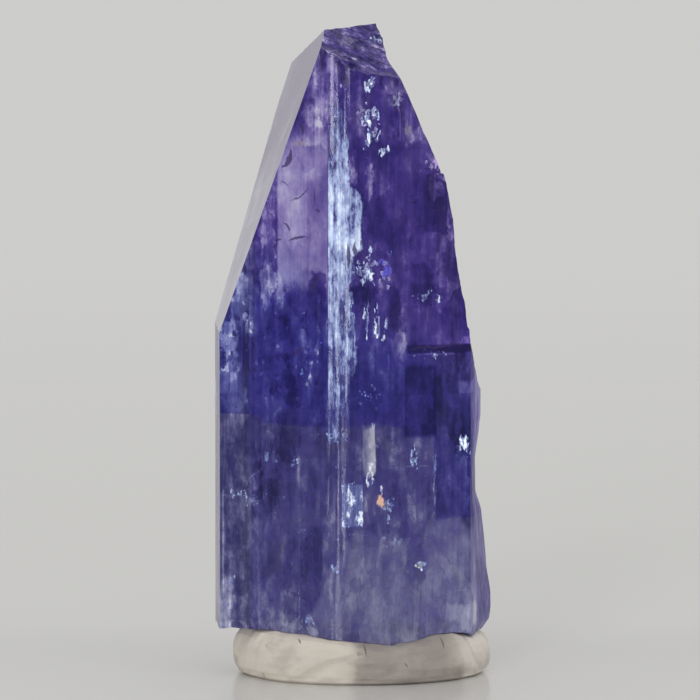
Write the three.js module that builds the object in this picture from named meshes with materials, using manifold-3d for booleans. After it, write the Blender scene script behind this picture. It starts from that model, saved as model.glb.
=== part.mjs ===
// A rough tanzanite: one striated zoisite prism, broken at its root and at its tip, that stands upright on
// a pressed lump of white mounting putty. Millimetres, +Z up. The origin is on the flat underside of the
// putty, in the middle of the whole, and -Y is the side of the two broad prism faces that meet in a narrow
// ridge facet.
import * as THREE from "three";
import { mergeVertices } from "three/addons/utils/BufferGeometryUtils.js";
import Module from "manifold-3d";

const wasm = await Module();
wasm.setup();
const { clamp, lerp, mapLinear, smoothstep } = THREE.MathUtils;

// ---------------------------------------------------------------- driving dimensions

const TIP_HEIGHT = 26.0; // from the surface that the putty stands on to the crystal's tip
const ROOT_HEIGHT = 1.9; // mean height of the crystal's broken underside
const SEAT_GAP = 0.25; // between the crystal's underside and the putty below it

// The prism's vertical edges seen from above, anticlockwise. Each one starts the face that it names: `ribs`
// is the number of growth striations on that face and `relief` how far they stand out or lie back.
const PRISM = [
  { name: "left_front", x: -5.33, y: -1.5, ribs: 13, relief: 0.035 },
  { name: "ridge", x: -1.06, y: -3.35, ribs: 5, relief: 0.035 },
  { name: "right_front", x: -0.14, y: -3.56, ribs: 15, relief: 0.03 },
  { name: "right", x: 4.66, y: -1.95, ribs: 5, relief: 0.035 },
  { name: "right_back", x: 5.08, y: 0.9, ribs: 8, relief: 0.06 },
  { name: "back", x: 3.7, y: 3.3, ribs: 10, relief: 0.05 },
  { name: "left_back", x: 0.5, y: 4.2, ribs: 10, relief: 0.05 },
  { name: "left_corner", x: -3.0, y: 4.3, ribs: 8, relief: 0.05 },
  { name: "left", x: -5.56, y: 1.05, ribs: 5, relief: 0.02 },
];
const RISER = 0.05; // width of the riser between two striations

// Thin growth layers that lie on a face from one x to another and end downwards in a ledge.
const LAYERS = [
  { face: "left_front", from: -5.1, to: -3.72, bottom: 11.0, thickness: 0.05 },
  { face: "left_front", from: -2.9, to: -2.1, bottom: 11.4, thickness: 0.04 },
  { face: "right_front", from: 0.35, to: 1.93, bottom: 10.0, thickness: 0.06 },
  { face: "right_front", from: 2.0, to: 3.18, bottom: 9.65, thickness: 0.11 },
  { face: "right_front", from: 3.25, to: 4.5, bottom: 6.45, thickness: 0.08 },
  { face: "right_front", from: 3.3, to: 4.45, bottom: 13.1, thickness: 0.1 },
  { face: "back", from: 1.2, to: 2.6, bottom: 15.5, thickness: 0.12 },
  { face: "left_back", from: -2.4, to: -0.9, bottom: 8.2, thickness: 0.1 },
];
const LEDGE = 0.06; // a layer reaches its full thickness over this width

// Grooves that run the whole height of a face.
const GROOVES = [
  { face: "left_front", x: -3.58, width: 0.16, depth: 0.09 },
  { face: "left_front", x: -3.24, width: 0.1, depth: 0.05 },
  { face: "ridge", x: -0.62, width: 0.12, depth: 0.05 },
  { face: "right_front", x: 0.28, width: 0.1, depth: 0.05 },
  { face: "back", x: 2.9, width: 0.3, depth: 0.12 },
  { face: "left_back", x: -2.75, width: 0.3, depth: 0.14 },
];

// How far the broken right side stands out from its prism face: [height, outward].
const RIGHT_FLARE = [
  [0, -0.3],
  [1.7, -0.1],
  [1.9, 0.15],
  [2.1, 0.34],
  [2.5, 0.44],
  [3.2, 0.43],
  [4.0, 0.3],
  [5.5, 0.16],
  [6.6, 0.04],
  [7.2, -0.18],
  [8.6, -0.2],
  [10.3, 0.03],
  [13, 0],
];

// Outline of the broken upper right flank, measured at the depth FLANK.front: [height, x].
const FLANK_OUTLINE = [
  [10.6, 6.4],
  [11.6, 5.72],
  [13.3, 4.82],
  [15.2, 4.48],
  [16.8, 4.14],
  [18.6, 3.98],
  [20.3, 3.58],
  [21.8, 2.86],
  [23.4, 2.14],
  [24.8, 1.34],
  [25.6, 1.3],
  [26.2, 1.14],
  [28, 0.9],
];
const FLANK = { front: -2.5, slant: 0.24, rough: 0.12 }; // slant: x lost per millimetre towards the back

// Planes that end the crystal. What lies on the normal's side is broken away, with ripples `relief` high.
const ENDS = [
  { name: "bevel", at: [-3.29, -2.35, 19.6], normal: [-0.938, -0.112, 0.315], relief: 0 },
  { name: "tip_front", at: [-0.23, -1.9, TIP_HEIGHT], normal: [0.384, -0.68, 0.73], relief: 0.09 },
  { name: "tip_back", at: [-0.23, -1.9, TIP_HEIGHT], normal: [-0.2225, 0.18, 0.98], relief: 0.04 },
];
const END_CELLS = 48; // cells along each side of a rippled plane

// A facet that bites into the upper right of the front and ends downwards in a ledge.
const SHOULDER = { x: 2.05, ledge: 20.15, turn: 0.2, lean: 0.045, size: 9 };

// A shallow shell-shaped break low on the front.
const SCOOP = {
  face: "right_front",
  x: 1.9,
  z: 2.6,
  halfWidth: 3.2,
  halfHeight: 3.5,
  depth: 0.24,
  cells: 30,
};

// The putty: an oval lump, flat below and moulded to the crystal's root above.
const PUTTY = { x: 0.33, y: 0.15, halfWidth: 5.12, halfDepth: 4.35, lumpiness: 0.025, around: 64 };

// The putty's section, from the middle of its top to the middle of its underside: [share of the half width,
// share of the height].
const PUTTY_SECTION = [
  [0, 1],
  [0.14, 1],
  [0.28, 1],
  [0.42, 1],
  [0.56, 1],
  [0.69, 1],
  [0.81, 1],
  [0.9, 0.99],
  [0.955, 0.93],
  [0.985, 0.8],
  [1, 0.62],
  [0.995, 0.4],
  [0.965, 0.2],
  [0.925, 0.06],
  [0.88, 0],
  [0, 0],
];

const SIMPLE = 0.004; // flat areas are simplified to within this

// ---------------------------------------------------------------- small tools

// A repeatable pseudo-random number from 0 to 1 for a whole number.
function chance(i) {
  const wave = Math.sin(i * 12.9898 + 78.233) * 43758.5453;
  return wave - Math.floor(wave);
}

// Smooth noise from -1 to 1 over a plane, blended from random numbers on a unit lattice.
function noise(u, v, seed) {
  const [i, j] = [Math.floor(u), Math.floor(v)];
  const [s, t] = [u - i, v - j].map((f) => f * f * (3 - 2 * f));
  const corner = (a, b) => 2 * chance((i + a) * 57 + (j + b) * 131 + seed * 17) - 1;
  return lerp(lerp(corner(0, 0), corner(1, 0), s), lerp(corner(0, 1), corner(1, 1), s), t);
}

// Ripples of a shell-like break, from about -1 to 1: arcs round one point, each with a long rise and a short
// fall.
function shellRipple(u, v, seed) {
  const rings = Math.hypot(u - 1.6, v + 2.4) * 1.5 + 0.8 * noise(u * 0.9, v * 0.9, seed);
  const phase = rings - Math.floor(rings);
  const arc = 2 * Math.min(phase / 0.75, (1 - phase) / 0.25) - 1;
  return 0.6 * arc + 0.4 * noise(u * 2.3, v * 2.3, seed + 1);
}

// The value at one position of a broken line that is given as [position, value] points.
function along(points, at) {
  const next = points.findIndex(([position]) => position > at);
  if (next < 0) return points[points.length - 1][1];
  if (next === 0) return points[0][1];
  const [[p, a], [q, b]] = [points[next - 1], points[next]];
  return mapLinear(at, p, q, a, b);
}

// Moves every vertex of a geometry to where move(x, y, z) says.
function reshape(geometry, move) {
  const position = geometry.attributes.position;
  for (let i = 0; i < position.count; i++) {
    position.setXYZ(i, ...move(position.getX(i), position.getY(i), position.getZ(i)));
  }
  return geometry;
}

// A closed three.js geometry as a manifold solid.
function solidFrom(geometry) {
  const bare = geometry.clone();
  bare.deleteAttribute("normal");
  bare.deleteAttribute("uv");
  const merged = mergeVertices(bare, 1e-5);
  const vertProperties = new Float32Array(merged.attributes.position.array);
  const triVerts = new Uint32Array(merged.index.array);
  return new wasm.Manifold(new wasm.Mesh({ numProp: 3, vertProperties, triVerts }));
}

// A manifold solid as a three.js geometry.
function geometryFrom(solid) {
  const { vertProperties, triVerts } = solid.getMesh();
  const geometry = new THREE.BufferGeometry();
  geometry.setAttribute("position", new THREE.BufferAttribute(new Float32Array(vertProperties), 3));
  geometry.setIndex(new THREE.BufferAttribute(new Uint32Array(triVerts), 1));
  geometry.computeVertexNormals();
  return geometry;
}

// ---------------------------------------------------------------- the striated prism

// Face k in plan: its data, its run to the next edge, its length and its outward normal.
function planOf(k) {
  const [face, next] = [PRISM[k], PRISM[(k + 1) % PRISM.length]];
  const [dx, dy] = [next.x - face.x, next.y - face.y];
  const length = Math.hypot(dx, dy);
  return { face, dx, dy, length, normal: [dy / length, -dx / length] };
}

// The striations of face k as [share of the face, outward] points. Both ends lie on the plane of the face.
function ribsOf(k) {
  const { face, length } = planOf(k);
  const riser = RISER / length;
  const points = [[0, 0]];
  for (let i = 0; i < face.ribs; i++) {
    const share = (i + 0.6 + 0.7 * (chance(k * 31 + i) - 0.5)) / (face.ribs + 0.2);
    const outward = i + 1 < face.ribs ? (2 * chance(k * 71 + i * 3) - 1) * face.relief : 0;
    points.push([share, points[points.length - 1][1]], [share + riser, outward]);
  }
  return [...points, [1, 0]];
}

// The grooves of face k as [share of the face, outward] points.
function groovesOf(k) {
  const { face, dx } = planOf(k);
  const across = ({ x, width, depth }) =>
    [
      [x - width / 2, 0],
      [x, -depth],
      [x + width / 2, 0],
    ].map(([at, outward]) => [(at - face.x) / dx, outward]);
  const points = GROOVES.filter((groove) => groove.face === face.name).flatMap(across);
  return [[0, 0], ...points.sort((a, b) => a[0] - b[0]), [1, 0]];
}

// How much of the right side's flare acts at one share of face k.
function flareShare(k, share) {
  if (PRISM[k].name === "right") return share;
  return PRISM[k].name === "right_back" ? 1 - share : 0;
}

// The vertical lines of face k, from its own edge up to but not including the next one.
function columnsOf(k) {
  const { face, dx, dy, normal } = planOf(k);
  const [ribs, grooves] = [ribsOf(k), groovesOf(k)];
  const layers = LAYERS.filter((layer) => layer.face === face.name);
  const ledge = LEDGE * Math.sign(dx);
  const edges = layers.flatMap(({ from, to }) => [from - ledge, from, to, to + ledge]);
  const shares = [...ribs, ...grooves].map(([share]) => share);
  shares.push(...edges.map((x) => (x - face.x) / dx));
  shares.sort((a, b) => a - b);
  const kept = shares.filter((share, i) => share < 1 - 1e-4 && (i === 0 || share - shares[i - 1] > 1e-3));
  return kept.map((share) => {
    const x = face.x + dx * share;
    const inside = ({ from, to }) =>
      x > Math.min(from, to) - LEDGE / 2 && x < Math.max(from, to) + LEDGE / 2;
    return {
      x,
      y: face.y + dy * share,
      normal,
      outward: along(ribs, share) + along(grooves, share),
      flare: flareShare(k, share),
      layers: layers.filter(inside),
    };
  });
}

const COLUMNS = PRISM.flatMap((_, k) => columnsOf(k));
const ROWS = [
  ...new Set([
    ...RIGHT_FLARE.map(([height]) => height),
    ...LAYERS.flatMap(({ bottom }) => [bottom - LEDGE, bottom]),
    TIP_HEIGHT + 1,
  ]),
].sort((a, b) => a - b);

// The prism's wall at one column and height.
function wallPoint({ x, y, normal, outward, flare, layers }, z) {
  const laid = layers.filter(({ bottom }) => z > bottom - LEDGE / 2);
  const out = laid.reduce((sum, { thickness }) => sum + thickness, outward);
  return [x + normal[0] * out + flare * along(RIGHT_FLARE, z), y + normal[1] * out, z];
}

// The whole prism before its ends break: a cylinder's grid moved on to the columns and rows.
function striatedPrism() {
  const grid = new THREE.CylinderGeometry(1, 1, 1, COLUMNS.length, ROWS.length - 1);
  grid.rotateX(Math.PI / 2);
  return reshape(grid, (x, y, z) => {
    const row = ROWS[Math.round((z + 0.5) * (ROWS.length - 1))];
    if (Math.hypot(x, y) < 0.5) return [0, 0, row];
    const turn = Math.atan2(y, x) / (2 * Math.PI) + 1;
    return wallPoint(COLUMNS[Math.round(turn * COLUMNS.length) % COLUMNS.length], row);
  });
}

// ---------------------------------------------------------------- what breaks the crystal's ends and sides

// A block that lies on the normal's side of a plane, with ripples on the plane where it meets the crystal.
function planeCutter({ at, normal, relief }, seed) {
  const [half, cells] = [17, relief ? END_CELLS : 1];
  const block = new THREE.BoxGeometry(2 * half, 2 * half, half, cells, cells, 1);
  block.translate(0, 0, half / 2);
  const crowd = (q) => Math.sign(q) * half * Math.abs(q / half) ** 1.4; // finer cells where the crystal is
  reshape(block, (u, v, w) => {
    const rim = w > 1e-6 || Math.max(Math.abs(u), Math.abs(v)) > half - 1e-6;
    return [crowd(u), crowd(v), rim ? w : relief * shellRipple(crowd(u), crowd(v), seed)];
  });
  const out = new THREE.Vector3(...normal).normalize();
  const up = new THREE.Vector3(0, 0, 1).addScaledVector(out, -out.z).normalize();
  const across = new THREE.Vector3().crossVectors(up, out);
  block.applyMatrix4(new THREE.Matrix4().makeBasis(across, up, out).setPosition(...at));
  return solidFrom(block);
}

// The block that breaks the upper right flank.
function flankCutter() {
  const [low, high] = [FLANK_OUTLINE[0][0], FLANK_OUTLINE[FLANK_OUTLINE.length - 1][0]];
  const block = new THREE.BoxGeometry(12, 14, high - low, 1, 26, 34);
  block.translate(6, 0, (high + low) / 2);
  reshape(block, (x, y, z) => {
    if (x > 1) return [x, y, z];
    const behind = y - FLANK.front;
    const ripple = FLANK.rough * shellRipple(y * 0.6, z * 0.6, 5) * smoothstep(behind, -0.4, 1.2);
    return [along(FLANK_OUTLINE, z) - FLANK.slant * behind + ripple, y, z];
  });
  return solidFrom(block);
}

// The block that takes the shoulder off the front's upper right.
function shoulderCutter() {
  const { x, ledge, turn, lean, size } = SHOULDER;
  const { face, dx, dy } = planOf(PRISM.findIndex(({ name }) => name === "right_front"));
  const block = new THREE.BoxGeometry(size, size, size);
  block.translate(size / 2, -size / 2, size / 2);
  block.rotateZ(Math.atan2(dy, dx) + turn);
  block.rotateY(-lean);
  block.translate(x, face.y + (dy / dx) * (x - face.x), ledge);
  return solidFrom(block);
}

// Height of the crystal's broken underside: lowest in a lobe at the front and at the right edge, highest at
// the left.
function rootHeight(x, y) {
  const lobe = Math.exp(-(((x - 1.5) / 2) ** 2)) * smoothstep(-y, -2.5, 3) + 0.5 * smoothstep(x, 4, 5.4);
  const left = smoothstep(-x, 0.5, 4);
  const rough = 0.09 * noise(x * 0.9, y * 0.9, 9) + 0.05 * noise(x * 2.2, y * 2.2, 10);
  return ROOT_HEIGHT - 0.42 * lobe + 0.14 * left + rough;
}

// The block that breaks the crystal's root.
function rootCutter() {
  const block = new THREE.BoxGeometry(13, 11, 6, 30, 26, 1);
  return solidFrom(reshape(block, (x, y, z) => [x, y, z > 0 ? rootHeight(x, y) : z]));
}

// The block that takes the scoop: a dish in a face, with concentric ripples.
function scoopCutter() {
  const { x, z, halfWidth, halfHeight, depth, cells } = SCOOP;
  const { face, dx, dy, normal } = planOf(PRISM.findIndex(({ name }) => name === SCOOP.face));
  const block = new THREE.BoxGeometry(2.4 * halfWidth, 2.4 * halfHeight, 4, cells, cells, 1);
  reshape(block, (u, v, w) => {
    if (w > 0) return [u, v, w];
    const away = Math.hypot(u / halfWidth, v / halfHeight);
    const dish = depth * (1 - away ** 2) + 0.04 * Math.sin(11 * away) + 0.07 * noise(u * 1.1, v * 1.1, 40);
    return [u, v, -Math.max(dish, -0.3)];
  });
  const across = new THREE.Vector3(dx, dy, 0).normalize();
  const out = new THREE.Vector3(...normal, 0);
  const basis = new THREE.Matrix4().makeBasis(across, new THREE.Vector3(0, 0, 1), out);
  block.applyMatrix4(basis.setPosition(x, face.y + (dy / dx) * (x - face.x), z));
  return solidFrom(block);
}

// ---------------------------------------------------------------- the two pieces

// The crystal: the striated prism less everything that has broken away.
function tanzaniteCrystal() {
  const cutters = [
    ...ENDS.map((end, i) => planeCutter(end, 20 + i * 3)),
    flankCutter(),
    shoulderCutter(),
    rootCutter(),
    scoopCutter(),
  ];
  const crystal = cutters.reduce((solid, cutter) => solid.subtract(cutter), solidFrom(striatedPrism()));
  const material = new THREE.MeshStandardMaterial({ color: 0x463f86, roughness: 0.12, metalness: 0 });
  const mesh = new THREE.Mesh(geometryFrom(crystal.simplify(SIMPLE)), material);
  mesh.name = "tanzanite_crystal";
  return mesh;
}

// The putty: a ball's grid moved on to the section, with the top following the crystal's root.
function mountingPutty() {
  const rows = PUTTY_SECTION.length - 1;
  const lump = new THREE.SphereGeometry(1, PUTTY.around, rows);
  lump.rotateX(Math.PI / 2);
  reshape(lump, (x, y, z) => {
    const polar = Math.acos(clamp(z, -1, 1)) / Math.PI;
    const [share, height] = PUTTY_SECTION[Math.round(polar * rows)];
    const turn = Math.atan2(y, x);
    const [c, s] = [Math.cos(turn), Math.sin(turn)];
    const reach = share * (1 + PUTTY.lumpiness * noise(3 + 2 * c, 3 + 2 * s, 30));
    const [px, py] = [PUTTY.x + reach * PUTTY.halfWidth * c, PUTTY.y + reach * PUTTY.halfDepth * s];
    return [px, py, height * (rootHeight(px, py) - SEAT_GAP)];
  });
  const material = new THREE.MeshStandardMaterial({ color: 0xcfc8bd, roughness: 0.8, metalness: 0 });
  const mesh = new THREE.Mesh(lump, material);
  mesh.name = "mounting_putty";
  return mesh;
}

const specimen = new THREE.Group();
specimen.add(tanzaniteCrystal(), mountingPutty());

export default specimen;
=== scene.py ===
"""Looks of a rough tanzanite that stands on a squashed lump of mounting putty.

Lengths are in millimetres and become metres when a mesh is made. +Z is up, and -Y is the side of the broad
prism faces.
"""
import logging
import math
from collections.abc import Callable
from dataclasses import dataclass, field
from enum import Enum

import bpy
import numpy as np
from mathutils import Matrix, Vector


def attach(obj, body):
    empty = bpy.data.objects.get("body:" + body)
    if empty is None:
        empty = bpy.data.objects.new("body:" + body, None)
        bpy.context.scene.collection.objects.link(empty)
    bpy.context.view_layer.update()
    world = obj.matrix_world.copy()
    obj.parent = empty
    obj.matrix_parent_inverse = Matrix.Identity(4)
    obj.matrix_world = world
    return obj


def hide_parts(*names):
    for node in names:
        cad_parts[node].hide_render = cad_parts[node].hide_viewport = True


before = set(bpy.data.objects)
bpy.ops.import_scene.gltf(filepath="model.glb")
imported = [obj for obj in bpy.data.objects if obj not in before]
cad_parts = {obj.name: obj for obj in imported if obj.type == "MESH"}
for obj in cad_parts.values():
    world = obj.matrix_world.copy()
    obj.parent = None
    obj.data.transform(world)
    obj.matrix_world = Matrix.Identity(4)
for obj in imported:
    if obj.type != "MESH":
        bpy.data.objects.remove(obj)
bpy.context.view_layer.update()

LOG = logging.getLogger("tanzanite")
MM = 0.001
Array = np.ndarray
Dice = np.random.Generator
Colour = tuple[float, float, float]
Stops = tuple[tuple[float, float], ...]


# ---- formulas shared by the shapes


def chance(i: Array | float) -> Array:
    """A repeatable pseudo-random number from 0 to 1: the fraction of a large multiple of a sine of i."""
    wave = np.sin(np.asarray(i, float) * 12.9898 + 78.233) * 43758.5453
    return wave - np.floor(wave)


def smooth(value: Array, low: float, high: float) -> Array:
    """Eases from 0 at low to 1 at high: 3t2 - 2t3 of the clamped share t."""
    t = np.clip((value - low) / (high - low), 0, 1)
    return t * t * (3 - 2 * t)


def corners(i: Array, j: Array, seed: int) -> list[Array]:
    """Random numbers from -1 to 1 at the corners (0, 0), (1, 0), (0, 1) and (1, 1) of each lattice cell."""
    steps = ((0, 0), (1, 0), (0, 1), (1, 1))
    return [2 * chance((i + p) * 57 + (j + q) * 131 + seed * 17) - 1 for p, q in steps]


def noise(u: Array, v: Array, seed: int) -> Array:
    """Smooth noise from -1 to 1: random numbers on a unit lattice, blended with eased shares.

    Args:
        u: first coordinate.
        v: second coordinate.
        seed: which random numbers to use.

    Returns:
        The noise at each point.
    """
    u, v = np.broadcast_arrays(np.asarray(u, float), np.asarray(v, float))
    i, j = np.floor(u), np.floor(v)
    s, t = smooth(u - i, 0, 1), smooth(v - j, 0, 1)
    near, right, above, far = corners(i, j, seed)
    return (near * (1 - s) + right * s) * (1 - t) + (above * (1 - s) + far * s) * t


def shell_ripple(u: Array, v: Array, seed: int) -> Array:
    """Ripples of a shell-like break, from about -1 to 1.

    The rings are the distance from one point plus noise. Each rises over three quarters of its width and
    falls over the rest, and finer noise is laid over it.

    Args:
        u: first coordinate.
        v: second coordinate.
        seed: which random numbers to use.

    Returns:
        The height at each point, to be multiplied by the relief.
    """
    rings = np.hypot(u - 1.6, v + 2.4) * 1.5 + 0.8 * noise(u * 0.9, v * 0.9, seed)
    phase = rings - np.floor(rings)
    arc = 2 * np.minimum(phase / 0.75, (1 - phase) / 0.25) - 1
    return 0.6 * arc + 0.4 * noise(u * 2.3, v * 2.3, seed + 1)


def facets(u: Array, v: Array, seed: int) -> Array:
    """Flat-sided noise from -1 to 1: random heights on a slanted lattice, joined by straight lines.

    Args:
        u: first coordinate.
        v: second coordinate.
        seed: which random numbers to use.

    Returns:
        The height at each point.
    """
    a, b = u + 0.45 * v, v - 0.3 * u
    i, j = np.floor(a), np.floor(b)
    s, t = a - i, b - j
    near, right, above, far = corners(i, j, seed)
    first = near + s * (right - near) + t * (above - near)
    second = far + (1 - s) * (above - far) + (1 - t) * (right - far)
    return np.where(s + t < 1, first, second)


def root_height(x: Array, y: Array) -> Array:
    """Height of the crystal's broken underside, in mm.

    A mean height, less a bell-shaped lobe at the front and a drop at the right edge, plus a rise at the left
    and two octaves of noise.

    Args:
        x: distance to the right, in mm.
        y: distance to the back, in mm.

    Returns:
        The height at each point.
    """
    lobe = np.exp(-(((x - 1.5) / 2) ** 2)) * smooth(-y, -2.5, 3) + 0.5 * smooth(x, 4, 5.4)
    rough = 0.09 * noise(x * 0.9, y * 0.9, 9) + 0.05 * noise(x * 2.2, y * 2.2, 10)
    return 1.9 - 0.42 * lobe + 0.14 * smooth(-x, 0.5, 4) + rough


def follow(value: Array, line: Stops | Array) -> Array:
    """Reads a line of (value, result) points, straight between them."""
    return np.interp(value, *np.array(line).T)


def spread(low: float, high: float, step: float) -> Array:
    """Evenly spaced numbers from low to high, at most step apart."""
    return np.linspace(low, high, max(2, int(math.ceil((high - low) / step)) + 1))


def thinned(values: Array, digits: int, gap: float) -> Array:
    """The rounded values in order, without those that are no more than a gap above the one before."""
    values = np.unique(np.round(values, digits))
    return values[np.concatenate([[True], np.diff(values) > gap])]


def each(kind: type, *rows: tuple) -> tuple:
    """One object of a kind for each row of its fields."""
    return tuple(kind(*row) for row in rows)


# ---- meshes


class Region(Enum):
    """Which surface of the crystal a face belongs to. The number is the face's `region` attribute."""

    STRIATED = 0.0
    BEVEL = 1.0
    BROKEN = 2.0


def grid_quads(rows: int, columns: int, closed: bool = False) -> Array:
    """The quads of a grid whose points are numbered row by row.

    Args:
        rows: how many rows of points.
        columns: how many points in each row.
        closed: whether each row's last point joins its first.

    Returns:
        One line of four point numbers for each quad.
    """
    i = np.arange(rows - 1)[:, None]
    j = np.arange(columns if closed else columns - 1)[None, :]
    k = (j + 1) % columns
    quads = np.stack([i * columns + j, i * columns + k, (i + 1) * columns + k, (i + 1) * columns + j], -1)
    return quads.reshape(-1, 4)


def fan(rim: Array, centre: int) -> Array:
    """Triangles from each pair of neighbours on a closed rim to one centre point."""
    return np.stack([rim, np.roll(rim, -1), np.full(len(rim), centre)], 1)


def make_object(name: str, points: Array, faces: list, region: Region | None = None) -> bpy.types.Object:
    """Makes a mesh object at the origin from points in mm.

    Args:
        name: the object's name.
        points: one line of x, y, z for each point, in mm.
        faces: arrays of point numbers, each with one line for each face.
        region: written to every face's `region` attribute if given.

    Returns:
        The new object, linked to the scene.
    """
    mesh = bpy.data.meshes.new(name)
    polygons = [polygon for group in faces for polygon in group.tolist()]
    mesh.from_pydata((points * MM).tolist(), [], polygons)
    if region is not None:
        layer = mesh.attributes.new("region", "FLOAT", "FACE")
        layer.data.foreach_set("value", np.full(len(polygons), region.value, np.float32))
    mesh.polygons.foreach_set("use_smooth", np.ones(len(polygons), bool))
    mesh.update()
    made = bpy.data.objects.new(name, mesh)
    bpy.context.scene.collection.objects.link(made)
    return made


def ringed_object(
    name: str, rings: Array, caps: list, rising: bool, region: Region | None = None
) -> bpy.types.Object:
    """Makes an object from closed rings, with fans that close its first ring and, with two caps, its last.

    Args:
        name: the object's name.
        rings: rings by columns by 3 points in mm, each ring anticlockwise from above.
        caps: the centre of each fan.
        rising: whether the rings go up, or else outwards and down.
        region: the faces' region.

    Returns:
        The new object.
    """
    rows, columns = rings.shape[:2]
    way = 1 if rising else -1
    rims = (np.arange(columns)[::-way], ((rows - 1) * columns + np.arange(columns))[::way])
    ends = [fan(rim, rows * columns + k) for k, rim in enumerate(rims[: len(caps)])]
    points = np.concatenate([rings.reshape(-1, 3), caps])
    return make_object(name, points, [grid_quads(rows, columns, closed=True)[:, ::way], *ends], region)


def face_count(piece: bpy.types.Object) -> int:
    """How many triangles a piece's mesh has."""
    piece.data.calc_loop_triangles()
    return len(piece.data.loop_triangles)


# ---- shader maths


def node_operator(operation: str, swapped: bool = False) -> Callable[["Socket", "Socket | float"], "Socket"]:
    """A Python operator for sockets that adds one Math node.

    Args:
        operation: the Math node's operation.
        swapped: whether the other value comes first.

    Returns:
        The operator.
    """

    def apply(self: "Socket", other: "Socket | float") -> "Socket":
        """The result of the operation on both."""
        return self.graph.math(operation, *((other, self) if swapped else (self, other)))

    return apply


class Socket:
    """An output of a node that takes part in Python arithmetic: each operator or method adds nodes."""

    def __init__(self, graph: "Graph", output: bpy.types.NodeSocket) -> None:
        """Wraps one output of one node of a graph."""
        self.graph = graph
        self.output = output

    __add__ = __radd__ = node_operator("ADD")
    __mul__ = __rmul__ = node_operator("MULTIPLY")
    __sub__ = node_operator("SUBTRACT")
    __rsub__ = node_operator("SUBTRACT", swapped=True)

    def clamp(self) -> "Socket":
        """self held between 0 and 1."""
        return self.graph.node("Clamp", {"Value": self})

    def most(self, *others: "Socket") -> "Socket":
        """The largest of self and the others.

        Args:
            others: the sockets to compare it with.

        Returns:
            The largest.
        """
        largest = self
        for other in others:
            largest = self.graph.math("MAXIMUM", largest, other)
        return largest

    def step(self, low: float, high: float) -> "Socket":
        """Eases from 0 where self is low to 1 where it is high, whichever of the two is larger.

        Args:
            low: the value that gives 0.
            high: the value that gives 1.

        Returns:
            The eased share.
        """
        inputs = {"Value": self, "From Min": min(low, high), "From Max": max(low, high)}
        rise = self.graph.node("MapRange", inputs, interpolation_type="SMOOTHSTEP")
        return rise if low < high else 1 - rise

    def window(self, low: float, high: float, soft: float) -> "Socket":
        """1 between low and high, easing to 0 within soft of either."""
        return self.step(low - soft, low + soft) * self.step(high + soft, high - soft)


@dataclass(frozen=True)
class Line:
    """A thin line on a front view, bowed to the left of its run, that tapers to both ends, in mm."""

    start: tuple[float, float]
    end: tuple[float, float]
    bow: float
    width: float


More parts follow.
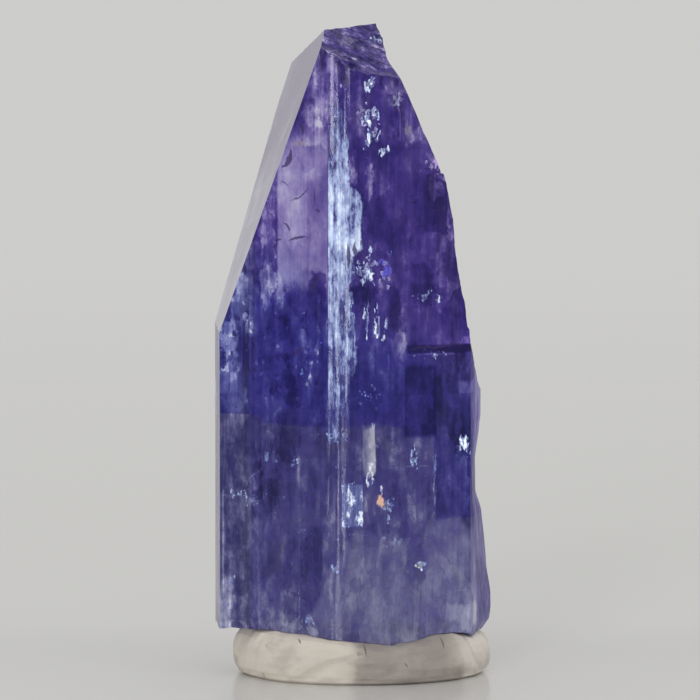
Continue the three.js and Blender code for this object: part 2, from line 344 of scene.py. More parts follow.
class Graph:
    """The node tree of one material or of the world, emptied when it is taken over."""

    def __init__(self, owner: bpy.types.Material | bpy.types.World) -> None:
        """Empties the owner's node tree.

        Args:
            owner: the material or the world.
        """
        owner.use_nodes = True
        self.owner = owner
        self.tree = owner.node_tree
        self.tree.nodes.clear()

    @staticmethod
    def _set_stops(ramp: bpy.types.ColorRamp, stops: list[tuple[float, Colour]]) -> None:
        """Gives a colour ramp its stops.

        Args:
            ramp: the ramp.
            stops: the place and the colour of each, from the left.
        """
        while len(ramp.elements) < len(stops):
            ramp.elements.new(1.0)
        for element, (place, colour) in zip(ramp.elements, stops):
            element.position = place
            element.color = (*colour, 1.0)

    def node(
        self, kind: str, inputs: dict, out: str | int | None = 0, **settings: str | list
    ) -> Socket | None:
        """Adds one node.

        Args:
            kind: Blender's name of the node type, without its ShaderNode.
            inputs: values or Sockets by the input's name or place. A colour is three numbers.
            out: the name or place of the output to give, if any.
            settings: the node's properties, or a ramp's stops, set before its inputs.

        Returns:
            The output, or None if none is wanted.
        """
        made = self.tree.nodes.new("ShaderNode" + kind)
        if "stops" in settings:
            self._set_stops(made.color_ramp, settings.pop("stops"))
        for name, value in settings.items():
            setattr(made, name, value)
        for name, value in inputs.items():
            socket = made.inputs[name]
            if isinstance(value, Socket):
                self.tree.links.new(value.output, socket)
            else:
                socket.default_value = (*value, 1.0) if socket.type == "RGBA" else value
        return None if out is None else Socket(self, made.outputs[out])

    def math(self, operation: str, a: Socket | float, b: Socket | float) -> Socket:
        """One Math node."""
        return self.node("Math", {0: a, 1: b}, operation=operation)

    def vector(self, operation: str, *values: Socket | tuple) -> Socket:
        """One Vector Math node."""
        out = "Value" if operation in ("DOT_PRODUCT", "LENGTH") else "Vector"
        return self.node("VectorMath", dict(enumerate(values)), out, operation=operation)

    def mix(self, factor: Socket, a: Socket | Colour, b: Socket | Colour) -> Socket:
        """A colour from a at factor 0 to b at factor 1."""
        return self.node("Mix", {0: factor, 6: a, 7: b}, 2, data_type="RGBA")

    def layered(self, base: Socket | Colour, *layers: tuple[Socket, Socket | Colour]) -> Socket:
        """A base colour under layers, each a factor and a colour.

        Args:
            base: the lowest colour.
            layers: the factor and the colour of each, from the lowest up.

        Returns:
            The colour.
        """
        for factor, colour in layers:
            base = self.mix(factor, base, colour)
        return base

    def stretched(self, point: Socket, scale: tuple[float, float, float]) -> Socket:
        """A point with each coordinate multiplied."""
        return self.vector("MULTIPLY", point, scale)

    def millimetres(self) -> Socket:
        """The object coordinates in mm."""
        return self.stretched(self.node("TexCoord", {}, "Object"), (1 / MM, 1 / MM, 1 / MM))

    def axes(self, point: Socket) -> list[Socket]:
        """The three coordinates of a point."""
        parts = self.node("SeparateXYZ", {"Vector": point}).output.node.outputs
        return [Socket(self, part) for part in parts]

    def cloud(
        self, point: Socket, scale: tuple[float, float, float], detail: float, rough: float, out: str = "Fac"
    ) -> Socket:
        """Noise of about 0 to 1 over a point, with its own scale for each axis, in cycles per mm."""
        inputs = {"Vector": self.stretched(point, scale), "Scale": 1.0, "Detail": detail, "Roughness": rough}
        return self.node("TexNoise", inputs, out)

    def blocks(self, point: Socket, scale: tuple[float, float, float]) -> Socket:
        """A random number from 0 to 1 for each of many box-like cells."""
        inputs = {"Vector": self.stretched(point, scale), "Scale": 1.0, "Randomness": 0.8}
        return self.axes(self.node("TexVoronoi", inputs, "Color", distance="CHEBYCHEV", feature="F1"))[0]

    def ramp(self, value: Socket, places: tuple[float, ...], colours: tuple[Colour, ...]) -> Socket:
        """A colour by a value from 0 to 1, straight between colours at places."""
        return self.node("ValToRGB", {"Fac": value}, stops=list(zip(places, colours)))

    def profile(self, value: Socket, stops: Stops) -> Socket:
        """A straight line between stops of value and result.

        Args:
            value: what is looked up.
            stops: the stops, from the lowest value.

        Returns:
            The result.
        """
        places, results = np.array(stops).T
        low, high, least, most = places[0], places[-1], results.min(), results.max()
        share = self.node("MapRange", {"Value": value, "From Min": low, "From Max": high})
        greys = [(grey, grey, grey) for grey in (results - least) / (most - least)]
        return least + (most - least) * self.axes(self.ramp(share, (places - low) / (high - low), greys))[0]

    def bump(
        self, height: Socket, depth: float, strength: Socket | float, normal: Socket | None = None
    ) -> Socket:
        """A normal tilted by a height field of that depth in mm, over an earlier normal if given."""
        inputs = {"Height": height, "Distance": depth * MM, "Strength": strength}
        return self.node("Bump", inputs if normal is None else {**inputs, "Normal": normal})

    def lines(self, point: Socket, lines: tuple[Line, ...]) -> Socket:
        """Where the lines are, from 0 to 1.

        Along a line u goes from 0 to 1, and q is 4u(1 - u). A point's distance from the chord, less the bow
        times q, is compared with half the width times q.

        Args:
            point: the point, in mm.
            lines: the lines.

        Returns:
            The sum of all lines.
        """
        total = 0.0
        for line in lines:
            (x0, z0), (x1, z1) = line.start, line.end
            dx, dz = x1 - x0, z1 - z0
            run = math.hypot(dx, dz)
            along = self.vector("DOT_PRODUCT", point, (dx / run**2, 0.0, dz / run**2))
            u = along - (x0 * dx + z0 * dz) / run**2
            q = u * (1 - u) * 4
            aside = self.vector("DOT_PRODUCT", point, (-dz / run, 0.0, dx / run)) - (z0 * dx - x0 * dz) / run
            away = self.math("ABSOLUTE", aside - line.bow * q, 0.0)
            total = (0.5 * line.width * q - away).step(-0.012, 0.02) + total
        return total.clamp()

    def finish(
        self, surface: Socket, volume: Socket | None = None, kind: str = "OutputMaterial"
    ) -> bpy.types.Material | bpy.types.World:
        """Ends the graph in an output node and gives the owner of the tree.

        Args:
            surface: the shader of the surface or of the background.
            volume: the shader of the inside, if any.
            kind: the output node's type, without its ShaderNode.

        Returns:
            The material or the world.
        """
        inputs = {"Surface": surface}
        if volume is not None:
            inputs["Volume"] = volume
        self.node(kind, inputs, None)
        return self.owner


# ---- finishes


@dataclass(frozen=True)
class Patch:
    """A ragged oval of the crystal's front: its middle and half sizes in mm, and how much it adds there."""

    x: float
    z: float
    half_width: float
    half_height: float
    amount: float


@dataclass(frozen=True)
class Gleam(Patch):
    """A patch with a colour of its own, where light comes through or is thrown back."""

    colour: Colour


@dataclass(frozen=True)
class Pane:
    """An upright box of the crystal's front: its sides, how soft they are, in mm, and how much it adds."""

    left: float
    right: float
    soft_x: float
    bottom: float
    top: float
    soft_z: float
    amount: float = 1.0


class InnerPattern:
    """The masks and clouds that the crystal's colours are mixed from, as sockets over its object coordinates.

    Broken, striated and bevelled tell the faces' regions apart, halfway between their numbers.
    """

    raggedness: tuple[float, float, float] = (1.3, 0.0, 2.0)
    crinkle: tuple[float, float, float] = (0.5, 0.0, 0.5)
    full: float = 0.65
    empty: float = 1.25

    def __init__(self, graph: Graph) -> None:
        """Makes the masks and clouds in a graph.

        Args:
            graph: the graph of the crystal's material.
        """
        self.graph = graph
        self.point = point = graph.millimetres()
        self.x, self.y, self.z = x, y, z = graph.axes(point)
        region = graph.node("Attribute", {}, "Fac", attribute_name="region")
        self.broken = region.step(1.4, 1.6)
        self.striated = region.step(0.6, 0.4)
        self.bevelled = (1 - self.broken) * (1 - self.striated)
        self.front = y.step(-0.9, -1.3) * (1 - self.bevelled)
        self.streaks = graph.cloud(point, (5.0, 5.0, 0.16), 3.0, 0.6)
        self.patches = graph.cloud(point, (0.5, 0.5, 0.35), 3.0, 0.55)
        self.blotches = graph.cloud(point, (1.3, 1.3, 0.6), 4.0, 0.6)
        self.curds = graph.cloud(point, (2.6, 2.6, 1.9), 5.0, 0.72)
        self.flecks = graph.cloud(point, (4.2, 4.2, 2.0), 4.0, 0.75)
        self.tiles = graph.blocks(point, (0.95, 0.95, 0.5))
        self.shards = graph.blocks(point, (3.1, 3.1, 0.8))
        wobble = graph.cloud(point, (1.3, 1.3, 0.7), 4.0, 0.65, "Color")
        self.ragged = graph.vector("MULTIPLY_ADD", wobble, self.raggedness, point)
        crinkled = graph.vector("MULTIPLY_ADD", wobble, self.crinkle, point)
        self.crinkled = graph.vector("SUBTRACT", crinkled, tuple(side / 2 for side in self.crinkle))
        self.chips = graph.blocks(self.crinkled, (8.5, 8.5, 6.5))
        slanted = graph.node("CombineXYZ", {0: 1.3 * x, 1: 1.3 * y, 2: 7.0 * z + 2.8 * x})
        inputs = {"Vector": slanted, "Scale": 1.0, "Detail": 4.0, "Roughness": 0.6, "Distortion": 0.6}
        self.ripples = graph.node("TexNoise", inputs)

    def ovals(self, patches: tuple[Patch, ...]) -> Socket:
        """The sum of what the patches add.

        The distance from a patch's middle is the root of the sum of the fourth powers of the ragged point's
        offsets, in half sizes. A patch adds all of its amount up to `full` and nothing beyond `empty`.

        Args:
            patches: the patches.

        Returns:
            The sum, on the front alone.
        """
        total = 0.0
        shift_x, _, shift_z = (side / 2 for side in self.raggedness)
        for patch in patches:
            wide, tall = 1 / patch.half_width, 1 / patch.half_height
            offset = (-(patch.x + shift_x) * wide, 0.0, -(patch.z + shift_z) * tall)
            place = self.graph.vector("MULTIPLY_ADD", self.ragged, (wide, 0.0, tall), offset)
            distance = self.graph.vector("LENGTH", self.graph.vector("MULTIPLY", place, place))
            inputs = {0: distance, 1: self.full, 2: self.empty, 3: patch.amount, 4: 0.0}
            total = self.graph.node("MapRange", inputs, interpolation_type="SMOOTHSTEP") + total
        return total * self.front

    def pane(self, pane: Pane, height: Socket | None = None) -> Socket:
        """What a pane adds, on the front alone.

        Args:
            pane: the box and its amount.
            height: what its bottom and top are compared with, or None for z.

        Returns:
            All of the amount inside the box, easing to 0 round it.
        """
        across = self.x.window(pane.left, pane.right, pane.soft_x)
        upright = (height or self.z).window(pane.bottom, pane.top, pane.soft_z)
        return pane.amount * across * upright * self.front


@dataclass(frozen=True)
class ZoisiteFinish:
    """Clear violet-blue zoisite: purple near the tip, deep blue in the middle, grey and cloudy below."""

    ior: float = 1.695
    absorption_density: float = 640.0
    absorption_colour: Colour = (0.44, 0.31, 0.8)
    polish: float = 0.03
    lean_to_light: float = 0.5
    right_edge: tuple[float, float] = (4.62, 4.85)
    violet_height: tuple[float, float] = (14.0, 18.0)
    weights: tuple[float, ...] = (0.24, 0.12, 0.46, 0.8, 1.0)
    blue_glass: Colour = (0.42, 0.48, 1.0)
    violet_glass: Colour = (0.95, 0.75, 1.0)
    grey_glass: Colour = (0.66, 0.68, 1.0)
    dark_glass: Colour = (0.12, 0.1, 0.5)
    edge_glass: Colour = (0.62, 0.5, 1.0)
    dim_bevel_sheen: Colour = (0.46, 0.43, 0.56)
    bright_bevel_sheen: Colour = (0.78, 0.76, 0.86)
    grazing_sheen: Colour = (0.88, 0.84, 0.97)
    tube_white: Colour = (0.66, 0.66, 0.8)
    crack_dark: Colour = (0.05, 0.028, 0.12)
    rust: Colour = (0.95, 0.6, 0.46)
    rust_at: tuple[float, float, float] = (1.07, -3.1, 7.2)
    places: tuple[float, ...] = (0.0, 0.3, 0.5, 0.7, 0.85, 1.0)
    violet: tuple[Colour, ...] = (
        (0.012, 0.005, 0.09), (0.042, 0.022, 0.25), (0.115, 0.07, 0.42), (0.27, 0.2, 0.6), (0.47, 0.4, 0.78),
        (0.75, 0.73, 0.95),
    )
    blue: tuple[Colour, ...] = (
        (0.004, 0.003, 0.09), (0.022, 0.018, 0.27), (0.07, 0.07, 0.44), (0.19, 0.21, 0.62), (0.38, 0.42, 0.8),
        (0.7, 0.77, 0.95),
    )
    slate: tuple[Colour, ...] = (
        (0.015, 0.012, 0.08), (0.05, 0.045, 0.2), (0.13, 0.125, 0.34), (0.27, 0.27, 0.48), (0.42, 0.43, 0.63),
        (0.72, 0.75, 0.88),
    )
    # Colours of the painted highlight on the ridge facet and of the painted glints.
    sheen_places: tuple[float, ...] = (0.0, 0.3, 0.65, 0.9, 1.0)
    sheen: tuple[Colour, ...] = (
        (0.1, 0.1, 0.42), (0.2, 0.24, 0.58), (0.5, 0.6, 0.88), (0.78, 0.87, 1.0), (0.94, 0.98, 1.0),
    )
    haze: Stops = ((0.0, 0.75), (0.2, 0.45), (0.42, 0.26), (0.6, 0.4), (0.8, 0.62), (1.0, 0.85))
    zone_floor: Stops = (
        (-5.5, 10.62), (-3.75, 10.62), (-3.65, 10.3), (-0.1, 10.2), (0.9, 10.35), (1.95, 10.15), (2.0, 9.8),
        (3.2, 9.75), (3.25, 6.35), (4.0, 6.6), (4.7, 6.45), (5.5, 6.4),
    )
    foot_top: Stops = (
        (-3.0, 5.8), (-0.4, 5.7), (0.5, 6.2), (1.6, 5.7), (2.75, 5.6), (2.9, 6.3), (3.5, 6.6), (4.1, 6.5),
        (4.7, 6.1),
    )
    band_edge: Stops = (
        (6.0, -0.2), (11.2, -0.3), (12.0, -0.1), (12.8, 0.1), (14.5, 0.02), (15.6, -0.1), (17.0, 0.05),
        (17.3, 0.34), (19.4, 0.32), (19.8, -0.16), (24.0, -0.2),
    )
    band_strength: Stops = (
        (9.2, 0.0), (9.8, 0.4), (10.3, 0.3), (12.0, 0.6), (12.8, 0.54), (13.5, 0.73), (15.5, 0.78),
        (17.0, 0.95), (19.5, 0.98), (20.5, 0.66), (22.5, 0.36), (23.2, 0.18), (23.6, 0.0),
    )
    # Lighter and darker ovals of the inside; some are painted light, such as glimmers and soft halos round
    # glints.
    tones: tuple[Patch, ...] = each(
        Patch,
        (-3.9, 7.85, 0.35, 0.4, -0.25), (-3.36, 16.9, 0.3, 2.3, 0.32), (-1.4, 23.6, 0.8, 1.4, 0.26),
        (-1.6, 22.2, 0.65, 0.9, 0.17), (-0.3, 23.6, 1.5, 1.0, 0.12), (-1.45, 15.9, 0.3, 0.6, -0.25),
        (-4.3, 14.9, 0.5, 1.3, 0.2), (-4.0, 17.0, 0.3, 0.6, 0.18), (4.5, 2.9, 0.3, 1.0, 0.06),
        (0.25, 22.9, 0.6, 1.1, 0.13), (-4.93, 13.5, 0.42, 0.8, 0.22), (1.2, 21.4, 0.4, 1.7, -0.12),
        (0.85, 18.0, 0.6, 2.0, -0.07), (-0.04, 20.4, 0.17, 0.8, 0.3), (0.56, 20.0, 0.17, 1.0, 0.24),
        (1.76, 22.3, 0.06, 1.0, 0.24), (1.9, 22.5, 1.0, 1.2, 0.2), (2.9, 21.2, 0.5, 0.8, 0.14),
        (3.3, 19.5, 0.34, 0.5, 0.28), (3.86, 18.4, 0.12, 0.4, 0.16), (2.3, 17.4, 0.12, 1.0, 0.2),
        (3.3, 16.7, 0.3, 0.3, -0.12), (3.3, 18.6, 0.12, 0.9, 0.12), (3.1, 17.3, 1.3, 2.4, -0.08),
        (4.0, 4.2, 0.85, 2.2, 0.02), (1.38, 14.7, 0.5, 0.9, -0.2), (0.35, 15.6, 0.5, 0.35, -0.25),
        (0.5, 24.4, 0.4, 0.35, -0.1), (2.75, 16.1, 0.4, 0.4, -0.2), (2.85, 15.0, 0.3, 0.22, -0.2),
        (3.05, 15.5, 0.6, 0.25, -0.2), (1.85, 13.5, 0.32, 0.7, 0.14), (-1.75, 13.8, 0.42, 0.6, 0.2),
        (-2.6, 13.9, 0.28, 0.35, -0.17), (-2.75, 13.0, 0.3, 0.22, -0.2), (-2.4, 11.3, 0.3, 0.35, -0.2),
        (-3.1, 12.1, 0.8, 0.9, -0.12), (-4.8, 11.6, 0.6, 0.95, 0.16), (-4.8, 13.0, 0.45, 0.9, 0.12),
        (-2.5, 9.7, 0.5, 0.9, -0.2), (-3.5, 8.0, 0.45, 1.6, -0.2), (-0.7, 9.1, 1.0, 1.0, 0.06),
        (2.0, 9.2, 0.9, 0.5, 0.08), (3.18, 7.9, 0.04, 1.4, 0.14), (2.5, 4.7, 0.4, 0.9, -0.15),
        (1.9, 6.2, 0.9, 0.7, 0.06), (3.9, 8.0, 0.7, 1.2, -0.03), (2.4, 8.6, 1.1, 1.4, -0.06),
        (-3.0, 5.5, 1.2, 0.7, 0.07), (-3.4, 5.0, 1.7, 2.0, 0.05), (1.0, 7.15, 0.32, 0.45, 0.12),
        (-1.6, 4.8, 0.5, 0.8, -0.12), (-2.4, 3.05, 0.45, 0.5, -0.13), (-0.1, 10.6, 0.25, 0.4, 0.14),
        (-0.1, 3.8, 0.3, 0.4, -0.1), (-4.6, 2.1, 0.5, 0.3, 0.14), (-1.75, 2.1, 0.25, 0.25, 0.18),
        (2.3, 14.4, 0.3, 0.5, -0.12), (-1.22, 10.8, 0.2, 0.7, 0.17), (4.4, 2.6, 0.8, 0.6, 0.14),
        (-5.1, 2.9, 0.35, 1.2, 0.19),
    )
    gleams: tuple[Gleam, ...] = each(
        Gleam,
        (1.3, 16.35, 0.28, 0.44, 0.9, (0.15, 0.14, 0.86)), (3.3, 20.65, 0.24, 0.36, 1.2, (0.66, 0.46, 1.0)),
        (2.24, 22.1, 0.16, 0.28, 0.7, (0.4, 0.4, 0.45)), (1.72, 23.2, 0.14, 0.25, 0.7, (0.42, 0.44, 0.52)),
        (-2.2, 21.55, 0.16, 0.1, 0.7, (0.5, 0.42, 0.38)), (-1.85, 21.45, 0.12, 0.07, 0.7, (0.6, 0.56, 0.56)),
        (1.3, 17.15, 0.2, 0.05, 1.0, (0.25, 0.4, 1.0)), (-0.3, 25.4, 0.3, 0.2, 0.6, (0.38, 0.4, 0.46)),
        (1.03, 7.5, 0.15, 0.3, 0.8, (0.6, 0.48, 0.6)), (2.66, 4.64, 0.12, 0.09, 1.4, (1.0, 1.0, 1.0)),
    )
    # Painted glints: rough spots painted silvery white where cracks throw the light back.
    glint_patches: tuple[Patch, ...] = each(
        Patch,
        (0.68, 23.8, 0.22, 0.26, 0.85), (0.35, 22.6, 0.22, 0.3, 0.8), (0.85, 22.65, 0.16, 0.26, 0.75),
        (0.52, 21.9, 0.08, 0.55, 0.7), (0.82, 21.8, 0.12, 0.25, 0.5), (1.12, 21.2, 0.22, 0.1, 0.85),
        (0.42, 16.4, 0.34, 0.4, 0.68), (0.5, 17.05, 0.2, 0.25, 0.5), (0.52, 14.6, 0.05, 0.7, 0.8),
        (0.95, 14.35, 0.07, 0.55, 0.85), (1.27, 14.3, 0.04, 0.5, 0.6), (3.0, 15.3, 0.4, 0.12, 0.7),
        (3.15, 13.1, 0.65, 0.06, 0.6), (4.42, 9.4, 0.24, 0.48, 0.75), (2.3, 9.0, 0.1, 0.5, 0.7),
        (-4.5, 7.45, 0.6, 0.14, 0.5), (-3.8, 7.2, 0.4, 0.1, 0.4), (-2.75, 7.3, 0.15, 0.1, 0.5),
        (-5.0, 13.4, 0.14, 0.5, 0.4), (-4.95, 3.5, 0.22, 0.8, 0.36), (2.65, 4.6, 0.16, 0.14, 0.7),
        (0.76, 9.0, 0.08, 0.7, 0.8), (0.6, 8.3, 0.18, 0.14, 0.85), (0.5, 10.15, 0.16, 0.16, 0.7),
        (1.42, 7.3, 0.08, 0.3, 0.55), (1.1, 7.75, 0.08, 0.12, 0.5), (1.65, 23.3, 0.15, 0.28, 0.5),
        (0.75, 25.4, 0.4, 0.2, 0.6),
    )
    # Darker boxes of the inside, painted where it reflects dark surroundings.
    dark_reflection_panes: tuple[Pane, ...] = each(
        Pane,
        (2.03, 3.3, 0.03, 9.8, 12.6, 0.15, 1.2), (3.3, 4.66, 0.05, 6.5, 13.3, 0.06, 0.39),
        (0.4, 1.95, 0.05, 10.2, 12.4, 0.3, 0.3), (2.1, 4.7, 0.06, 13.12, 13.42, 0.05, 1.25),
        (4.05, 4.8, 0.08, 11.95, 13.4, 0.08),
    )
    backlit_pane: Pane = Pane(-3.02, -1.0, 0.06, 15.6, 21.8, 0.9)
    left_pane: Pane = Pane(-9.0, -3.75, 0.15, 10.6, 15.5, 0.4)
    shattered_pane: Pane = Pane(-9.0, -1.05, 0.25, 11.2, 15.4, 0.9)
    dusky_pane: Pane = Pane(3.25, 4.66, 0.05, 0.0, 13.05, 0.25, 0.5)
    # A rough patch low on the ridge facet, painted with glints.
    glint_pane: Pane = Pane(-0.48, 0.38, 0.03, 6.25, 8.0, 0.12)
    # Dims the painted highlight on the ridge facet.
    dimmer_pane: Pane = Pane(-0.3, 0.5, 0.06, 18.0, 19.8, 0.3, 0.14)
    cracks: tuple[Line, ...] = each(
        Line,
        ((-2.55, 19.2), (-1.8, 19.72), -0.12, 0.07), ((-2.6, 17.55), (-1.8, 17.75), 0.1, 0.12),
        ((-3.1, 17.5), (-2.85, 17.55), 0.03, 0.1), ((-1.5, 18.76), (-1.28, 18.7), 0.03, 0.12),
        ((-1.56, 19.8), (-1.56, 18.8), 0.02, 0.05), ((-2.95, 19.85), (-2.6, 19.7), 0.1, 0.06),
        ((-2.85, 18.3), (-2.55, 17.9), 0.1, 0.07), ((-2.5, 21.3), (-2.8, 20.5), 0.1, 0.18),
        ((-2.2, 22.2), (-2.05, 21.8), 0.08, 0.14), ((-2.8, 15.7), (-2.6, 15.5), 0.03, 0.1),
        ((-1.5, 16.5), (-1.75, 15.5), 0.12, 0.12), ((2.5, 20.3), (2.5, 19.7), 0.02, 0.06),
        ((2.65, 20.35), (3.42, 20.35), 0.03, 0.08), ((2.85, 18.75), (3.6, 18.72), 0.02, 0.05),
        ((2.1, 13.25), (4.5, 13.35), 0.05, 0.1), ((-2.4, 12.9), (-1.9, 13.4), 0.1, 0.12),
        ((-0.18, 17.6), (-0.18, 16.5), 0.02, 0.15), ((0.06, 17.7), (0.06, 16.8), 0.0, 0.13),
        ((0.3, 17.5), (0.3, 16.7), 0.02, 0.1),
    )
    # Thin lines painted lighter: highlights where edges inside catch the light.
    highlight_lines: tuple[Line, ...] = each(
        Line,
        ((-2.15, 2.2), (-1.5, 2.2), 0.5, 0.12), ((3.18, 9.2), (3.18, 6.4), 0.0, 0.04),
        ((2.1, 13.02), (4.4, 13.0), 0.05, 0.07), ((4.1, 20.2), (4.5, 16.0), 0.15, 0.08),
        ((2.0, 8.6), (3.1, 8.6), 0.02, 0.06), ((-5.2, 8.2), (-5.2, 3.0), 0.0, 0.1),
    )

    def material(self) -> bpy.types.Material:
        """Builds the crystal's material.

        Returns:
            A material that reads object coordinates and the faces' `region` attribute.
        """
        graph = Graph(bpy.data.materials.new("zoisite"))
        inner = InnerPattern(graph)
        below = (inner.z - graph.profile(inner.x, self.zone_floor)).step(0.05, -0.05)
        side = inner.x.step(*self.right_edge)
        violet = (inner.z + 3 * inner.patches + 0.6 * inner.x).step(*self.violet_height).most(0.8 * side)
        slate = (below * (1 - 0.55 * side)).most(inner.pane(self.dusky_pane))
        tone = self._tone(inner, below)
        # The silvery share is painted highlight: the ridge facet's reflection of the light and the glints of
        # rough spots, painted pale, and partly real because they are also made metallic.
        sheen = self._band_sheen(inner).most(self._glint_sheen(inner))
        marks = self._marks(inner)
        tint = graph.layered(
            self.blue_glass,
            (violet, self.violet_glass),
            (below, self.grey_glass),
            (tone.step(0.42, 0.1), self.dark_glass),
            (side, self.edge_glass),
        )
        pale = graph.layered(
            graph.ramp(tone, self.places, self.blue),
            (violet, graph.ramp(tone, self.places, self.violet)),
            (slate, graph.ramp(tone, self.places, self.slate)),
            (inner.bevelled, self._bevel_sheen(inner)),
            (sheen.step(0.04, 0.2), graph.ramp(sheen, self.sheen_places, self.sheen)),
            *marks,
        )
        lit = (0.88 * sheen.step(0.05, 0.48)).most(*(share for share, _ in marks))
        normal = graph.bump(inner.streaks * (1 - inner.bevelled), 0.012, 0.3)
        normal = graph.bump(inner.curds, 0.02, 0.35, normal)
        grainy = graph.bump(inner.flecks, 0.05, 0.8, normal)
        inputs = {
            "Base Color": tint,
            "Roughness": self.polish + 0.08 * inner.broken + 0.05 * inner.striated * inner.streaks,
            "IOR": self.ior,
            "Transmission Weight": 1.0,
            "Normal": normal,
        }
        clear = graph.node("BsdfPrincipled", inputs)
        inputs = {
            "Base Color": pale,
            "Metallic": 0.75 * sheen.step(0.25, 0.8),
            "Roughness": 0.4,
            "IOR": self.ior,
            "Specular IOR Level": 0.08,
            "Normal": graph.bump(inner.x, self.lean_to_light, inner.x.step(-0.18, -0.08), grainy),
        }
        cloudy = graph.node("BsdfPrincipled", inputs)
        factor = self._haze(inner, tone, below, side).most(lit).clamp()
        surface = graph.node("MixShader", {0: factor, 1: clear, 2: cloudy})
        inputs = {"Color": self.absorption_colour, "Density": self.absorption_density}
        return graph.finish(surface, graph.node("VolumeAbsorption", inputs))

    def _haze(self, inner: InnerPattern, tone: Socket, below: Socket, side: Socket) -> Socket:
        """How much the cloudy surface covers the clear one.

        Args:
            inner: the masks and clouds.
            tone: how light the inside looks.
            below: where the root zone is.
            side: where the broken right side is.

        Returns:
            The share, before what is lit or marked.
        """
        x, z = inner.x, inner.z
        veil = 0.22 * x.step(-4.1, -4.8) + 0.25 * x.step(-3.4, -3.8) * below
        veil = veil + 0.2 * x.step(2.6, 3.8) * z.step(6.0, 8.0)
        veil = veil + 0.5 * (x + 0.4 * z.step(5.0, 2.5)).step(4.15, 4.45)
        cloud = inner.graph.profile(tone, self.haze) + veil * inner.front + 0.4 * side
        # The bevel is mostly covered by the cloudy surface that carries its painted grazing reflection.
        return cloud * (1 - inner.bevelled) + 0.74 * inner.bevelled

    def _bevel_sheen(self, inner: InnerPattern) -> Socket:
        """The colour of the bevel: a pale pearl that paints the light it reflects at a grazing angle,
        brighter lower down.

        Args:
            inner: the masks and clouds.

        Returns:
            The colour.
        """
        sheen_clouds = 0.45 * inner.patches + 0.3 * inner.curds + 0.25 * inner.streaks
        share = (sheen_clouds - 0.03 * (inner.z - 19)).step(0.33, 0.68)
        return inner.graph.mix(share, self.dim_bevel_sheen, self.bright_bevel_sheen)

    def _marks(self, inner: InnerPattern) -> list[tuple[Socket, Colour]]:
        """What lies over the zones, from the lowest up: a factor and a colour for each mark.

        Args:
            inner: the masks and clouds.

        Returns:
            The painted grazing reflection along the left edge, the growth tube, the cracks, the gleams and
            the rusty speck.
        """
        # Painted reflection: the far left face, seen at a grazing angle, is painted pale like the backdrop it
        # reflects.
        grazing = inner.x.step(-5.3, -5.38) * (1 - inner.bevelled) * inner.z.step(1.8, 3.0)
        cracks = 0.85 * inner.graph.lines(inner.crinkled, self.cracks) * inner.front
        shown = inner.flecks.step(0.4, 0.54)
        return [
            (grazing * (0.12 + 0.7 * inner.streaks), self.grazing_sheen),
            (self._tube(inner), self.tube_white),
            (cracks, self.crack_dark),
            *((inner.ovals((gleam,)) * shown, gleam.colour) for gleam in self.gleams),
            (self._speck(inner), self.rust),
        ]

    def _tone(self, inner: InnerPattern, below: Socket) -> Socket:
        """How light the inside looks: clouds and box-like cells, calmer in some zones, and what patches add.

        Args:
            inner: the masks and clouds.
            below: where the root zone is.

        Returns:
            The tone, from 0 to 1.
        """
        x, z, front = inner.x, inner.z, inner.front
        # Painted light: a lavender panel where light comes through the thin upper left, made lighter and
        # calmer.
        backlit_panel = inner.pane(self.backlit_pane, z + 2.4 * (inner.blotches - 0.5))
        lap = x - 0.475 * z + 0.3 * (inner.blotches - 0.5)
        foot = lap.step(-3.1, -2.9) * (z - inner.graph.profile(x, self.foot_top)).step(0.25, -0.25) * front
        edges = (0.5 * x.step(*self.right_edge)).most(0.45 * inner.pane(self.left_pane))
        calm = (0.7 * backlit_panel).most(0.55 * foot, edges)
        clouds = (inner.tiles, inner.shards, inner.streaks, inner.curds, inner.blotches)
        uneven = sum(weight * cloud for weight, cloud in zip(self.weights, clouds)) - sum(self.weights) / 2
        tone = 0.39 + uneven * (1 - calm) + 0.5 * (inner.patches - 0.5) + inner.ovals(self.tones)
        tone = tone + 0.06 * below + (0.42 - 0.05 * x.step(-1.9, -1.8)) * backlit_panel + 0.17 * foot
        tone = tone + 0.22 * inner.graph.lines(inner.point, self.highlight_lines) * front
        tone = tone + 0.045 * z.window(10.5, 15.6, 0.8) + self._breaks(inner) + self._shatter(inner)
        return (tone - 0.3 * sum(inner.pane(pane) for pane in self.dark_reflection_panes)).clamp()

    @staticmethod
    def _breaks(inner: InnerPattern) -> Socket:
        """What the broken tip, the scoop and the right edge add to the tone.

        Args:
            inner: the masks and clouds.

        Returns:
            What to add.
        """
        # Tone along the broken tip's ripples paints the light and shade of its ledges.
        grain = inner.flecks - 0.5 + 2.2 * (inner.ripples - 0.5) + 0.08
        tip = inner.broken * inner.z.step(22.5, 23.5) * grain
        scoop = inner.broken * inner.front * inner.z.step(7.5, 6.5)
        return tip + 0.06 * scoop + inner.x.step(4.66, 4.9) * (0.2 + 0.16 * inner.z.step(8.0, 9.0))

    def _shatter(self, inner: InnerPattern) -> Socket:
        """What the shattered middle of the left face adds to the tone: light and dark splinters and chips.

        Args:
            inner: the masks and clouds.

        Returns:
            What to add.
        """
        splinters = 0.16 * inner.shards.step(0.25, 0.15) - 0.14 * inner.shards.step(0.68, 0.8)
        chips = 0.24 * inner.chips.step(0.055, 0.03) - 0.16 * inner.chips.step(0.9, 0.93)
        return inner.pane(self.shattered_pane) * (splinters + chips)

